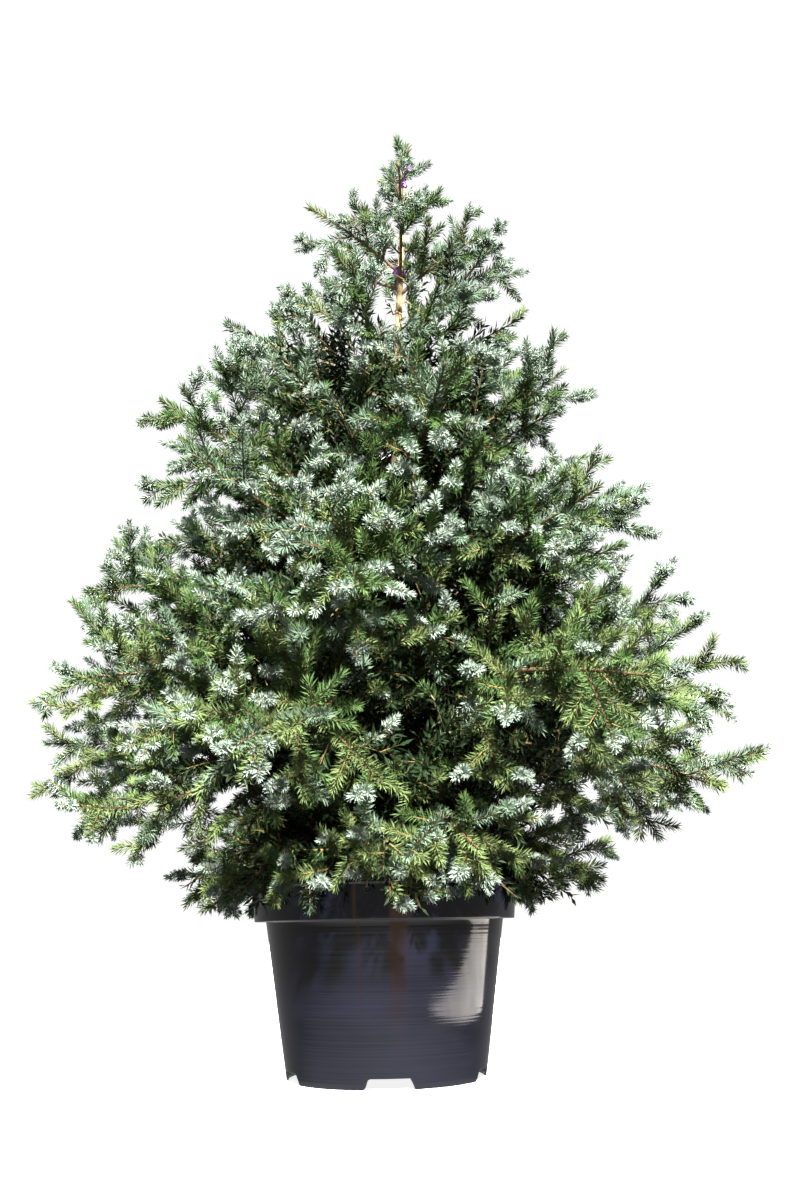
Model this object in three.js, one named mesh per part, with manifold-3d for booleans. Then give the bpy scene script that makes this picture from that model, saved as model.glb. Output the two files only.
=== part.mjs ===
// A young blue spruce in a round black nursery pot: millimetres, +Z up, origin on the floor under
// the middle of the pot. The pot, the soil, the trunk, each bare bough and each mass of foliage is a
// closed mesh of its own, and no two of them touch.
import * as THREE from 'three';
import { mergeVertices } from 'three/addons/utils/BufferGeometryUtils.js';
import Module from 'manifold-3d';

const wasm = await Module();
wasm.setup();

// ---------------------------------------------------------------- driving dimensions
const GAP = 0.3; // clear distance between two pieces that carry each other

const POT_HEIGHT = 228;
const RIM_RADIUS = 165;
const BAND_HEIGHT = 46; // the wide band under the rim
const BAND_FOOT_RADIUS = 161;
const BODY_TOP_RADIUS = 147;
const FOOT_RADIUS = 120;
const POT_WALL = 3;
const LIP_HEIGHT = 6;
const LIP_WIDTH = 2;
const BASE_CLEARANCE = 14; // the raised floor of the pot over the ground
const NOTCHES = 5;
const NOTCH_HEIGHT = 12;
const NOTCH_TOP_ANGLE = 22;
const NOTCH_FOOT_ANGLE = 28;
const NOTCH_TURN = 2.6; // the front notch's turn past straight ahead
const NOTCH_CUT = { length: 40, outside: 15, below: 1 }; // how far its cut passes the foot ring
const POT_SIDES = 30;

const SOIL_LEVEL = 204;
const SOIL_EDGE_DROP = 5;
const SOIL_FLAT_RADIUS = 45; // level ground round the trunk's foot

const TREE_HEIGHT = 1308;
const TRUNK_TIP = 1236;
const TRUNK_RADIUS = 15;
const TRUNK_TIP_RADIUS = 2.5;
const TRUNK_TAPER = 0.9;
const TRUNK_LEAN = 0.042; // sideways per unit of height
const TRUNK_SWAY = 5;
const SWAY_HEIGHT = 170;
const SWAY_TO_SIDE = 0.6; // the sway along X as a share of the sway along Y
const FLARE_RADIUS = 7; // added by the root flare at the soil
const FLARE_HEIGHT = 24;
const FLARE_LOBES = 5;
const FLARE_LOBE_DEPTH = 0.14;
const TRUNK_SIDES = 9;
const TRUNK_RINGS = 11;
const RING_CROWDING = 1.35; // draws the rings together at the flare

const CROWN_BOTTOM = 222;
const CROWN_REACH = 505;
const CROWN_CURVE = 1.2; // how late the crown starts to narrow on its way up
const CROWN_FULLNESS = 0.72; // how round it is at the top
const SKIRT_SHARE = 0.5; // the reach of the lowest tips, as a share of the crown's there
const SKIRT_FOOT = 12; // the crown widens from this far below the lowest tip
const SKIRT_HEIGHT = 148; // to this far above it
const SKEW = -0.1; // how much further the upper crown reaches to +X than its mean
const SKEW_FROM = 620;
const SKEW_TO = 800;
const CROWN_BOUGHS = 33;
const LOWEST_TIP = 212;
const HIGHEST_TIP = 1055;
const TIP_CROWDING = 1.32; // draws the tips together low down
const TIP_SCATTER = 24;
const TURN_SCATTER = 16;
const REACH_SCATTER = 0.07;
const RISE_TOP = 1.05; // the slope at which the highest boughs rise
const RISE_CURVE = 1.3;
const DROOP = 0.18; // the slope at which the lowest boughs fall
const LOWEST_ROOT = 262;
const ROOT_STEP = 5;
const ARCH_LOW = 0.12; // how far the lowest boughs arch, as a share of their reach
const ARCH_FALL = 0.35;
const ARCH_LEAST = -0.05;
const BEND_SCATTER = 0.24; // how far a bough may curve to one side
const SMALL_BEND_SCATTER = 0.2;
const WHORL_BOUGHS = 5;
const WHORL_ROOT = 1054;
const WHORL_STEP = 9; // each bough of the whorl starts this much above the last
const WHORL_REACH = 148;
const WHORL_REACH_SCATTER = 0.14;
const WHORL_TURN = -23;
const WHORL_RISE = 0.6;
const WHORL_RISE_SCATTER = 0.12;
const WHORL_ARCH = 0.03;
const SMALL_TURN_SCATTER = 10;
const LEADER_SHOOTS = 5;
const LEADER_ROOT = 1128;
const LEADER_STEP = 20;
const LEADER_REACH = 42;
const LEADER_TAPER = 0.06; // each shoot of the leader is this share shorter than the last
const LEADER_REACH_SCATTER = 0.15;
const LEADER_TURN = 40;
const LEADER_RISE = 0.62;
const LEADER_RISE_STEP = 0.1;
const LEADER_ARCH = -0.03;
const LEADER_LEAN = 4;
const LEADER_TWIGS = 3;
const BARE_BOUGHS = 12; // the lowest boughs, whose inner part is bare wood
const BARE_SHARE = 0.25;
const GOLDEN_ANGLE = 137.5;
const START_ANGLE = 225;
const SEED = 615;

const BOUGH_SIDES = 5;
const BOUGH_STEPS = 3;
const STEM_SIDES = 3;
const STEM_STEPS = 5;
const STEM_RADIUS = 1.6; // a bough's radius at the trunk, before what its reach adds
const STEM_THICKENING = 0.0085;
const STEM_TIP_RADIUS = 1.4;
const STEM_BARE = { share: 0.1, length: 16, most: 0.3, past: 0.03 }; // a stem before its twigs
const NEEDLE_LENGTH = 14;
const CORE_RADIUS = 4; // a spray's core between two teeth
const BARE_TWIG = 0.26; // the share of a twig before its first needles
const SIDE_TEETH = 2; // pairs of teeth along a side spray
const TIP_TEETH = 3;
const TOOTH_SPREAD = 0.41; // a tooth's reach to the side, as a share of what is ahead of it
const TOOTH_PLACE = 0.8;
const TOOTH_SWEEP = 0.86; // how far forward a tooth leans, as a share of the way to the next
const TIP_ROOM = 0.7; // the bare point ahead of the last tooth, in teeth
const SPRAY_FLATNESS = 0.72;
const TIP_SPRAY = { share: 0.36, length: 24, most: 0.75, overlap: 0.6 };
const TWIG_SEED = 1000;
const TWIG_PITCH = 65; // stem length for each twig
const TWIG_FIRST = 1.1;
const TWIG_LAST = 0.86; // the share of a stem where its last twig leaves it
const TWIG_TURN_SCATTER = 30;
const TWIG_SPREAD_FOOT = 58; // degrees from the stem, near the trunk
const TWIG_SPREAD_TIP = 40;
const TWIG_SPREAD_SCATTER = 8;
const TWIG_UPRIGHT = 0.7; // an upright twig's length as a share of a level one's
const TWIG_SHARE = 0.5; // a twig's length as a share of its stem's, near the trunk
const TWIG_CURVE = 0.6;
const TWIG_LEAST = 0.08;
const TWIG_LENGTH = 24; // added to every twig on a stem of LONG_STEM or more
const LONG_STEM = 220;
const FITTING_SHARES = [1, 0.8, 0.65, 0.5]; // the lengths that a spray is tried at
const AXIS_PIECES = 8;
const PATH_STEP = 0.01; // the share of a path over which its direction is taken
const STEEP = 0.97; // a direction steeper than this takes its side from Y
const ROOT_DEPTH = 2.5; // how far a spray's root passes its stem's axis
const SPACE_MARGIN = 5; // how much nearer its own stem than any other a spray stays
const TRUNK_MARGIN = 5;
const POT_MARGIN = 7;

const UP = new THREE.Vector3(0, 0, 1);
const radians = THREE.MathUtils.degToRad;
const lerp = THREE.MathUtils.lerp;
const clamp = THREE.MathUtils.clamp;
const smoothstep = THREE.MathUtils.smoothstep;

// ---------------------------------------------------------------- helpers
// Even numbers from 0 to 1 that are the same on every run for one seed.
function seeded(seed) {
  let state = seed >>> 0;
  return () => {
    state = (state + 0x6d2b79f5) >>> 0;
    let mix = Math.imul(state ^ (state >>> 15), state | 1);
    mix ^= mix + Math.imul(mix ^ (mix >>> 7), mix | 61);
    return ((mix ^ (mix >>> 14)) >>> 0) / 4294967296;
  };
}

// A closed geometry as a solid, with shared corners merged and empty triangles left out.
function solidOf(geometry) {
  geometry.deleteAttribute('normal');
  geometry.deleteAttribute('uv');
  const merged = mergeVertices(geometry, 1e-3);
  const corners = merged.index.array;
  const triangles = [];
  for (let i = 0; i < corners.length; i += 3) {
    const [a, b, c] = corners.slice(i, i + 3);
    if (a !== b && b !== c && c !== a) {
      triangles.push(a, b, c);
    }
  }
  const mesh = new wasm.Mesh({
    numProp: 3,
    vertProperties: Float32Array.from(merged.attributes.position.array),
    triVerts: Uint32Array.from(triangles),
  });
  return new wasm.Manifold(mesh);
}

function geometryOf(solid) {
  const mesh = solid.getMesh();
  const geometry = new THREE.BufferGeometry();
  geometry.setAttribute('position', new THREE.BufferAttribute(mesh.vertProperties, 3));
  geometry.setIndex(new THREE.BufferAttribute(mesh.triVerts, 1));
  return geometry;
}

// The largest body of a solid: scraps go, and hollows that the joins sealed are filled.
function wholeBody(solid) {
  const bodies = solid.decompose();
  bodies.sort((a, b) => b.volume() - a.volume());
  return bodies[0];
}

// A profile of [radius, height] pairs turned about +Z.
function turned(profile, sides) {
  const points = profile.map(([radius, height]) => new THREE.Vector2(radius, height));
  const geometry = new THREE.LatheGeometry(points, sides);
  geometry.rotateX(Math.PI / 2);
  return geometry;
}

// ---------------------------------------------------------------- pot and soil
function bodyRadius(height) {
  return lerp(FOOT_RADIUS, BODY_TOP_RADIUS, height / (POT_HEIGHT - BAND_HEIGHT));
}

function bandRadius(height) {
  const bandFoot = POT_HEIGHT - BAND_HEIGHT;
  return lerp(BAND_FOOT_RADIUS, RIM_RADIUS, (height - bandFoot) / BAND_HEIGHT);
}

function potSolid() {
  const bandFoot = POT_HEIGHT - BAND_HEIGHT;
  const floorTop = BASE_CLEARANCE + POT_WALL;
  const innerStep = bandFoot + POT_WALL;
  const profile = [
    [0, BASE_CLEARANCE],
    [bodyRadius(BASE_CLEARANCE) - POT_WALL, BASE_CLEARANCE],
    [FOOT_RADIUS - POT_WALL, 0],
    [FOOT_RADIUS, 0],
    [BODY_TOP_RADIUS, bandFoot],
    [BAND_FOOT_RADIUS, bandFoot],
    [bandRadius(POT_HEIGHT - LIP_HEIGHT), POT_HEIGHT - LIP_HEIGHT],
    [RIM_RADIUS + LIP_WIDTH, POT_HEIGHT - LIP_HEIGHT],
    [RIM_RADIUS + LIP_WIDTH, POT_HEIGHT],
    [RIM_RADIUS - POT_WALL, POT_HEIGHT],
    [BAND_FOOT_RADIUS - POT_WALL, innerStep],
    [BODY_TOP_RADIUS - POT_WALL, innerStep],
    [bodyRadius(floorTop) - POT_WALL, floorTop],
    [0, floorTop],
  ];
  let pot = solidOf(turned(profile, POT_SIDES));
  for (let notch = 0; notch < NOTCHES; notch++) {
    pot = pot.subtract(notchSolid(radians(NOTCH_TURN - 90 + (notch * 360) / NOTCHES)));
  }
  return pot;
}

// The space of one notch in the foot ring, wider at the ground.
function notchSolid(turn) {
  const footHalf = FOOT_RADIUS * Math.sin(radians(NOTCH_FOOT_ANGLE / 2));
  const topHalf = FOOT_RADIUS * Math.sin(radians(NOTCH_TOP_ANGLE / 2));
  const outline = new THREE.Shape();
  outline.moveTo(-footHalf, -NOTCH_CUT.below);
  outline.lineTo(footHalf, -NOTCH_CUT.below);
  outline.lineTo(topHalf, NOTCH_HEIGHT);
  outline.lineTo(-topHalf, NOTCH_HEIGHT);
  outline.closePath();
  const geometry = new THREE.ExtrudeGeometry(outline, { depth: NOTCH_CUT.length, bevelEnabled: false });
  geometry.rotateX(Math.PI / 2);
  geometry.translate(0, NOTCH_CUT.length - NOTCH_CUT.outside - FOOT_RADIUS, 0);
  geometry.rotateZ(turn + Math.PI / 2);
  return solidOf(geometry);
}

function soilSolid() {
  const floorTop = BASE_CLEARANCE + POT_WALL + GAP;
  const innerStep = POT_HEIGHT - BAND_HEIGHT + POT_WALL;
  const side = POT_WALL + GAP;
  const edgeLevel = SOIL_LEVEL - SOIL_EDGE_DROP;
  return solidOf(
    turned(
      [
        [0, floorTop],
        [bodyRadius(floorTop) - side, floorTop],
        [BODY_TOP_RADIUS - side, innerStep + GAP],
        [bandRadius(innerStep + GAP) - side, innerStep + GAP],
        [bandRadius(edgeLevel) - side, edgeLevel],
        [SOIL_FLAT_RADIUS, SOIL_LEVEL],
        [0, SOIL_LEVEL],
      ],
      POT_SIDES,
    ),
  );
}

// ---------------------------------------------------------------- trunk
// The trunk's axis leans to +X and sways a little to either side of that line.
function trunkAxis(height) {
  const above = height - SOIL_LEVEL;
  const sway = TRUNK_SWAY * Math.sin(above / SWAY_HEIGHT);
  return new THREE.Vector3(TRUNK_LEAN * above + SWAY_TO_SIDE * sway, sway, height);
}

function trunkRadius(height) {
  const share = clamp((height - SOIL_LEVEL) / (TRUNK_TIP - SOIL_LEVEL), 0, 1);
  const flare = FLARE_RADIUS * Math.exp(-(height - SOIL_LEVEL) / FLARE_HEIGHT);
  return lerp(TRUNK_RADIUS, TRUNK_TIP_RADIUS, share ** TRUNK_TAPER) + flare;
}

// The trunk from its flat cut on the soil to its tip, grown by extra on every side.
function trunkSolid(extra) {
  const foot = SOIL_LEVEL + GAP;
  const profile = [[0, foot]];
  for (let ring = 0; ring <= TRUNK_RINGS; ring++) {
    const height = lerp(foot, TRUNK_TIP, (ring / TRUNK_RINGS) ** RING_CROWDING);
    profile.push([trunkRadius(height) + extra, height]);
  }
  profile.push([0, TRUNK_TIP]);
  const geometry = turned(profile, TRUNK_SIDES);
  const position = geometry.attributes.position;
  for (let i = 0; i < position.count; i++) {
    const height = position.getZ(i);
    const axis = trunkAxis(height);
    const turn = Math.atan2(position.getY(i), position.getX(i));
    const near = Math.exp(-(height - foot) / FLARE_HEIGHT);
    const lobe = 1 + FLARE_LOBE_DEPTH * near * Math.cos(FLARE_LOBES * turn);
    position.setXY(i, axis.x + position.getX(i) * lobe, axis.y + position.getY(i) * lobe);
  }
  return solidOf(geometry);
}

// ---------------------------------------------------------------- boughs
function crownShare(height) {
  return clamp((height - CROWN_BOTTOM) / (TREE_HEIGHT - CROWN_BOTTOM), 0, 1);
}

// How far from the trunk a tip at this height and compass angle reaches.
function crownReach(height, angle) {
  const round = (1 - crownShare(height) ** CROWN_CURVE) ** CROWN_FULLNESS;
  const low = smoothstep(height, LOWEST_TIP - SKIRT_FOOT, LOWEST_TIP + SKIRT_HEIGHT);
  const skew = SKEW * smoothstep(height, SKEW_FROM, SKEW_TO);
  return CROWN_REACH * round * lerp(SKIRT_SHARE, 1, low) * (1 + skew * Math.cos(angle));
}

// A bough is its root's height, its compass angle, its reach, the height of its tip, how far it
// arches over the straight line to that tip, and how far it bends sideways.
function crownBough(number) {
  const rand = seeded(SEED + number);
  const order = (number / (CROWN_BOUGHS - 1)) ** TIP_CROWDING;
  const tip = lerp(LOWEST_TIP, HIGHEST_TIP, order) + TIP_SCATTER * (rand() - 0.5);
  const angle = radians(START_ANGLE + number * GOLDEN_ANGLE + TURN_SCATTER * (rand() - 0.5));
  const reach = crownReach(tip, angle) * (1 - REACH_SCATTER * rand());
  const share = crownShare(tip);
  const rise = RISE_TOP * share ** RISE_CURVE - DROOP;
  const root = Math.max(tip - reach * rise, LOWEST_ROOT + number * ROOT_STEP);
  const arch = Math.max(ARCH_LOW - ARCH_FALL * share, ARCH_LEAST);
  return { root, angle, reach, tip, arch, bend: BEND_SCATTER * (rand() - 0.5) };
}

function whorlBough(number) {
  const rand = seeded(SEED + CROWN_BOUGHS + number);
  const root = WHORL_ROOT + WHORL_STEP * number;
  const place = ((number * 2) % WHORL_BOUGHS) / WHORL_BOUGHS;
  const angle = radians(WHORL_TURN + 360 * place + SMALL_TURN_SCATTER * rand());
  const reach = WHORL_REACH * (1 - WHORL_REACH_SCATTER * rand());
  const tip = root + reach * (WHORL_RISE + WHORL_RISE_SCATTER * rand());
  return { root, angle, reach, tip, arch: WHORL_ARCH, bend: SMALL_BEND_SCATTER * (rand() - 0.5) };
}

function leaderShoot(number) {
  const rand = seeded(SEED + CROWN_BOUGHS + WHORL_BOUGHS + number);
  const root = LEADER_ROOT + LEADER_STEP * number;
  const angle = radians(LEADER_TURN + number * GOLDEN_ANGLE + SMALL_TURN_SCATTER * rand());
  const taper = 1 - LEADER_TAPER * number;
  const reach = LEADER_REACH * taper * (1 - LEADER_REACH_SCATTER * rand());
  const tip = root + reach * (LEADER_RISE + LEADER_RISE_STEP * number);
  return { root, angle, reach, tip, arch: LEADER_ARCH, bend: SMALL_BEND_SCATTER * (rand() - 0.5) };
}

// A point on a bough, at a share of its reach from the trunk's axis.
function boughPoint(bough, share) {
  const out = new THREE.Vector3(Math.cos(bough.angle), Math.sin(bough.angle), 0);
  const aside = new THREE.Vector3(-out.y, out.x, 0);
  const height =
    lerp(bough.root, bough.tip, share) + bough.arch * bough.reach * Math.sin(Math.PI * share);
  const foot = trunkAxis(bough.root);
  return new THREE.Vector3(foot.x, foot.y, height)
    .addScaledVector(out, bough.reach * share)
    .addScaledVector(aside, bough.bend * bough.reach * share * share);
}

function leaderPoint(share) {
  const foot = trunkAxis(TRUNK_TIP);
  const height = lerp(TRUNK_TIP + GAP, TREE_HEIGHT, share);
  return new THREE.Vector3(foot.x + LEADER_LEAN * share, foot.y, height);
}

function boughRadius(bough, share) {
  return lerp(STEM_RADIUS + STEM_THICKENING * bough.reach, STEM_TIP_RADIUS, share);
}

// The way along, to the side and up, at a share of a path.
function frameOn(path, share) {
  const along = path(share + PATH_STEP).sub(path(share - PATH_STEP)).normalize();
  return { origin: path(share), ...frameAlong(along) };
}

function frameAlong(along) {
  const level = Math.abs(along.z) > STEEP ? new THREE.Vector3(0, 1, 0) : UP;
  const side = new THREE.Vector3().crossVectors(along, level).normalize();
  const up = new THREE.Vector3().crossVectors(side, along);
  return { along, side, up };
}

// A tapering limb along a path: a cylinder whose rings are set square to the path.
function limbSolid(path, start, end, radiusAt, sides, steps) {
  const geometry = new THREE.CylinderGeometry(1, 1, 1, sides, steps);
  const position = geometry.attributes.position;
  for (let i = 0; i < position.count; i++) {
    const share = lerp(start, end, position.getY(i) + 0.5);
    const frame = frameOn(path, share);
    const point = frame.origin
      .addScaledVector(frame.side, position.getX(i) * radiusAt(share))
      .addScaledVector(frame.up, position.getZ(i) * radiusAt(share));
    position.setXYZ(i, point.x, point.y, point.z);
  }
  return solidOf(geometry);
}

// ---------------------------------------------------------------- foliage
// One spray: a slim three-sided core on a twig, with teeth to both sides and above that sweep
// forward as its shoots do, and a pointed tip.
function sprayGeometry(root, along, length, teeth) {
  const bare = BARE_TWIG * length;
  const pitch = (length - bare) / (teeth + TIP_ROOM);
  const profile = [new THREE.Vector2(0, -ROOT_DEPTH)];
  for (let tooth = 0; tooth < teeth; tooth++) {
    const from = bare + tooth * pitch;
    const ahead = length * (1 - (tooth + TOOTH_PLACE) / (teeth + TIP_ROOM));
    const spread = NEEDLE_LENGTH + TOOTH_SPREAD * ahead;
    profile.push(new THREE.Vector2(CORE_RADIUS, from));
    profile.push(new THREE.Vector2(spread, from + TOOTH_SWEEP * pitch));
  }
  profile.push(new THREE.Vector2(0, length));
  const geometry = new THREE.LatheGeometry(profile, 3);
  geometry.scale(1, 1, SPRAY_FLATNESS);
  const frame = frameAlong(along);
  const place = new THREE.Matrix4().makeBasis(frame.side, frame.along, frame.up);
  place.setPosition(root);
  geometry.applyMatrix4(place);
  return geometry;
}

// The direction of a twig that leaves a stem: forward, to one side, and up or down.
function twigDirection(frame, spread, roll) {
  return new THREE.Vector3()
    .addScaledVector(frame.along, Math.cos(spread))
    .addScaledVector(frame.side, Math.sin(spread) * Math.cos(roll))
    .addScaledVector(frame.up, Math.sin(spread) * Math.sin(roll))
    .normalize();
}

function distanceToAxis(point, axis) {
  let nearest = Infinity;
  const onLine = new THREE.Vector3();
  for (const piece of axis) {
    piece.closestPointToPoint(point, true, onLine);
    nearest = Math.min(nearest, onLine.distanceTo(point));
  }
  return nearest;
}

function axisPieces(path, count) {
  const pieces = [];
  for (let i = 0; i < count; i++) {
    pieces.push(new THREE.Line3(path(i / count), path((i + 1) / count)));
  }
  return pieces;
}

// True where a point is clear of the trunk and the pot and well inside its own mass's space, which
// is nearer to that mass's stem than to any other.
function inOwnSpace(point, own, axes) {
  const trunk = trunkAxis(clamp(point.z, SOIL_LEVEL, TRUNK_TIP));
  const fromTrunk = Math.hypot(point.x - trunk.x, point.y - trunk.y);
  if (point.z < TRUNK_TIP + TRUNK_MARGIN && fromTrunk < trunkRadius(point.z) + TRUNK_MARGIN) {
    return false;
  }
  const fromAxis = Math.hypot(point.x, point.y);
  if (point.z < POT_HEIGHT + POT_MARGIN && fromAxis < RIM_RADIUS + POT_MARGIN) {
    return false;
  }
  const limit = distanceToAxis(point, axes[own]) + SPACE_MARGIN;
  return axes.every((axis, other) => other === own || distanceToAxis(point, axis) > limit);
}

// The longest spray, from its full length down to half of it, that stays in its own space.
function fittingSpray(root, along, length, own, axes) {
  for (const share of FITTING_SHARES) {
    if (length * share < 2 * NEEDLE_LENGTH) {
      return null;
    }
    const geometry = sprayGeometry(root, along, length * share, SIDE_TEETH);
    const position = geometry.attributes.position;
    const point = new THREE.Vector3();
    let inside = true;
    for (let i = 0; i < position.count && inside; i++) {
      point.fromBufferAttribute(position, i);
      const atRoot = point.distanceTo(root) < CORE_RADIUS + ROOT_DEPTH;
      inside = atRoot || inOwnSpace(point, own, axes);
    }
    if (inside) {
      return solidOf(geometry);
    }
  }
  return null;
}

// The twigs of one stem, by the seeded rule: they leave it all round, each turned on from the last
// by the golden angle, the level ones and those nearest to the trunk longest.
function stemSprays(stem, own, axes) {
  const rand = seeded(SEED + TWIG_SEED + own);
  const sprays = [];
  for (let twig = 0; twig < stem.twigs; twig++) {
    const share = lerp(stem.start, TWIG_LAST, (twig + 0.5 * rand()) / stem.twigs);
    const frame = frameOn(stem.path, share);
    const roll = radians(twig * GOLDEN_ANGLE + TWIG_TURN_SCATTER * rand());
    const leaning = lerp(TWIG_SPREAD_FOOT, TWIG_SPREAD_TIP, share);
    const spread = radians(leaning + TWIG_SPREAD_SCATTER * (rand() - 0.5));
    const along = twigDirection(frame, spread, roll);
    const level = lerp(TWIG_UPRIGHT, 1, Math.abs(Math.cos(roll)));
    const extra = TWIG_LENGTH * Math.min(1, stem.length / LONG_STEM);
    const grown = TWIG_SHARE * (1 - share) ** TWIG_CURVE + TWIG_LEAST;
    const reach = level * stem.length * grown + extra;
    const spray = fittingSpray(frame.origin, along, reach, own, axes);
    if (spray) {
      sprays.push(spray);
    }
  }
  return sprays;
}

// One mass: its stem, the sprays along it and the spray that ends it, joined into one body.
function foliageSolid(stem, own, axes, trunkCut) {
  const { path, length, from, radiusAt } = stem;
  const tipSpray = Math.min(TIP_SPRAY.share * length + TIP_SPRAY.length, TIP_SPRAY.most * length);
  const stemEnd = 1 - (TIP_SPRAY.overlap * tipSpray) / length;
  let mass = limbSolid(path, from, stemEnd, radiusAt, STEM_SIDES, STEM_STEPS);
  if (trunkCut) {
    mass = mass.subtract(trunkCut);
  }
  const tipRoot = path(1 - tipSpray / length);
  const tipAlong = path(1).sub(tipRoot).normalize();
  const tipLength = path(1).distanceTo(tipRoot);
  mass = mass.add(solidOf(sprayGeometry(tipRoot, tipAlong, tipLength, TIP_TEETH)));
  for (const spray of stemSprays(stem, own, axes)) {
    mass = mass.add(spray);
  }
  return wholeBody(mass);
}

// ---------------------------------------------------------------- the plant
const plastic = new THREE.MeshStandardMaterial({ color: 0x2b2c30, roughness: 0.35 });
const earth = new THREE.MeshStandardMaterial({ color: 0x3a2a1c, roughness: 1 });
const bark = new THREE.MeshStandardMaterial({ color: 0x8a6f4c, roughness: 0.9, flatShading: true });
const needles = new THREE.MeshStandardMaterial({ color: 0x66786a, roughness: 0.8, flatShading: true });

const plant = new THREE.Group();

function addPiece(name, solid, material) {
  const piece = new THREE.Mesh(geometryOf(solid), material.clone());
  piece.name = name;
  plant.add(piece);
}

// The share of a stem before its first twig, where the stem is foliage from the trunk on.
function stemStart(length) {
  return Math.min(STEM_BARE.most, STEM_BARE.length / length + STEM_BARE.share);
}

function stemOf(bough, bare) {
  const path = (share) => boughPoint(bough, share);
  const length = path(0).distanceTo(path(1));
  return {
    path,
    length,
    bare,
    from: bare ? BARE_SHARE + GAP / length : 0,
    start: bare ? BARE_SHARE + STEM_BARE.past : stemStart(length),
    twigs: Math.round(TWIG_FIRST + length / TWIG_PITCH),
    radiusAt: (share) => boughRadius(bough, share),
  };
}

const boughs = [
  ...Array.from({ length: CROWN_BOUGHS }, (_, number) => crownBough(number)),
  ...Array.from({ length: WHORL_BOUGHS }, (_, number) => whorlBough(number)),
  ...Array.from({ length: LEADER_SHOOTS }, (_, number) => leaderShoot(number)),
];
const stems = boughs.map((bough, number) => stemOf(bough, number < BARE_BOUGHS));
const leader = {
  path: leaderPoint,
  length: TREE_HEIGHT - TRUNK_TIP,
  from: 0,
  start: STEM_BARE.share,
  twigs: LEADER_TWIGS,
  radiusAt: (share) => lerp(TRUNK_TIP_RADIUS, STEM_TIP_RADIUS, share),
};
const axes = [...stems, leader].map((stem) => axisPieces(stem.path, AXIS_PIECES));
const trunkCut = trunkSolid(GAP);

addPiece('pot', potSolid(), plastic);
addPiece('soil', soilSolid(), earth);
addPiece('trunk', trunkSolid(0), bark);
stems.forEach((stem, number) => {
  const label = String(number + 1).padStart(2, '0');
  if (stem.bare) {
    const limb = limbSolid(stem.path, 0, BARE_SHARE, stem.radiusAt, BOUGH_SIDES, BOUGH_STEPS);
    addPiece(`bough_${label}`, wholeBody(limb.subtract(trunkCut)), bark);
  }
  const mass = foliageSolid(stem, number, axes, stem.bare ? null : trunkCut);
  addPiece(`foliage_${label}`, mass, needles);
});
addPiece('leader_foliage', foliageSolid(leader, stems.length, axes, null), needles);

export default plant;
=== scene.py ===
"""A young blue spruce in a round black nursery pot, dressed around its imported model.

Metres, +Z up, origin on the floor under the middle of the pot. The boughs grow by the same seeded
rule as the model's solids, and carry on here to twigs, shoots and needles.
"""

import math

import bpy
import numpy as np
from mathutils import Matrix, Vector, noise


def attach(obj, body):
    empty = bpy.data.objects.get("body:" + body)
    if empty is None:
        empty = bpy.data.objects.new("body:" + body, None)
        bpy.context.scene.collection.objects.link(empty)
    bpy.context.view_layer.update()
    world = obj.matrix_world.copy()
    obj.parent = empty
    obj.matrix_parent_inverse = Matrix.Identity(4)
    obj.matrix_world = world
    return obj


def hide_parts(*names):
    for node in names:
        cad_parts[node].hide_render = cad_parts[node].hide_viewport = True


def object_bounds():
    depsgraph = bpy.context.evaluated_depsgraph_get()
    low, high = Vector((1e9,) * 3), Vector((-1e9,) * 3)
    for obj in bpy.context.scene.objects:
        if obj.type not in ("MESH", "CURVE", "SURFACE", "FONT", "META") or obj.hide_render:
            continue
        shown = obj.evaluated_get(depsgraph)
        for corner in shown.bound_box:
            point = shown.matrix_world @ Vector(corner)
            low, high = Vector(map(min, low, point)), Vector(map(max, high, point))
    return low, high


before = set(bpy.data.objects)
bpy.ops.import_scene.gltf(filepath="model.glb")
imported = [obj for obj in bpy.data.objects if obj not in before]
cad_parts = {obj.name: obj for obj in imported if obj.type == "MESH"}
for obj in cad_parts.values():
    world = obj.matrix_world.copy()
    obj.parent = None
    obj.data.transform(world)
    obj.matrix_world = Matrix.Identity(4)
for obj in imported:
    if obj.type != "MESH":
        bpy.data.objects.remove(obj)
cad_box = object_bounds()

# ---- sizes, as in the model's source
GAP = 0.0003
POT_HEIGHT = 0.228
RIM_RADIUS = 0.165
BAND_HEIGHT = 0.046
BAND_FOOT_RADIUS = 0.161
BODY_TOP_RADIUS = 0.147
FOOT_RADIUS = 0.120
POT_WALL = 0.003
LIP_HEIGHT = 0.006
LIP_WIDTH = 0.002
BASE_CLEARANCE = 0.014
NOTCHES = 5
NOTCH_HEIGHT = 0.012
NOTCH_ANGLES = (22, 28)  # at its top and at its foot
NOTCH_TURN = 2.6
SOIL_LEVEL = 0.204
SOIL_EDGE_DROP = 0.005
SOIL_FLAT_RADIUS = 0.045

TREE_HEIGHT = 1.308
TRUNK_TIP = 1.236
TRUNK_RADIUS = 0.015
TRUNK_TIP_RADIUS = 0.0025
TRUNK_TAPER = 0.9
TRUNK_LEAN = 0.042
TRUNK_SWAY = 0.005
SWAY_HEIGHT = 0.170
SWAY_TO_SIDE = 0.6
FLARE_RADIUS = 0.007
FLARE_HEIGHT = 0.024
FLARE_LOBES = 5
FLARE_LOBE_DEPTH = 0.14

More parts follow.
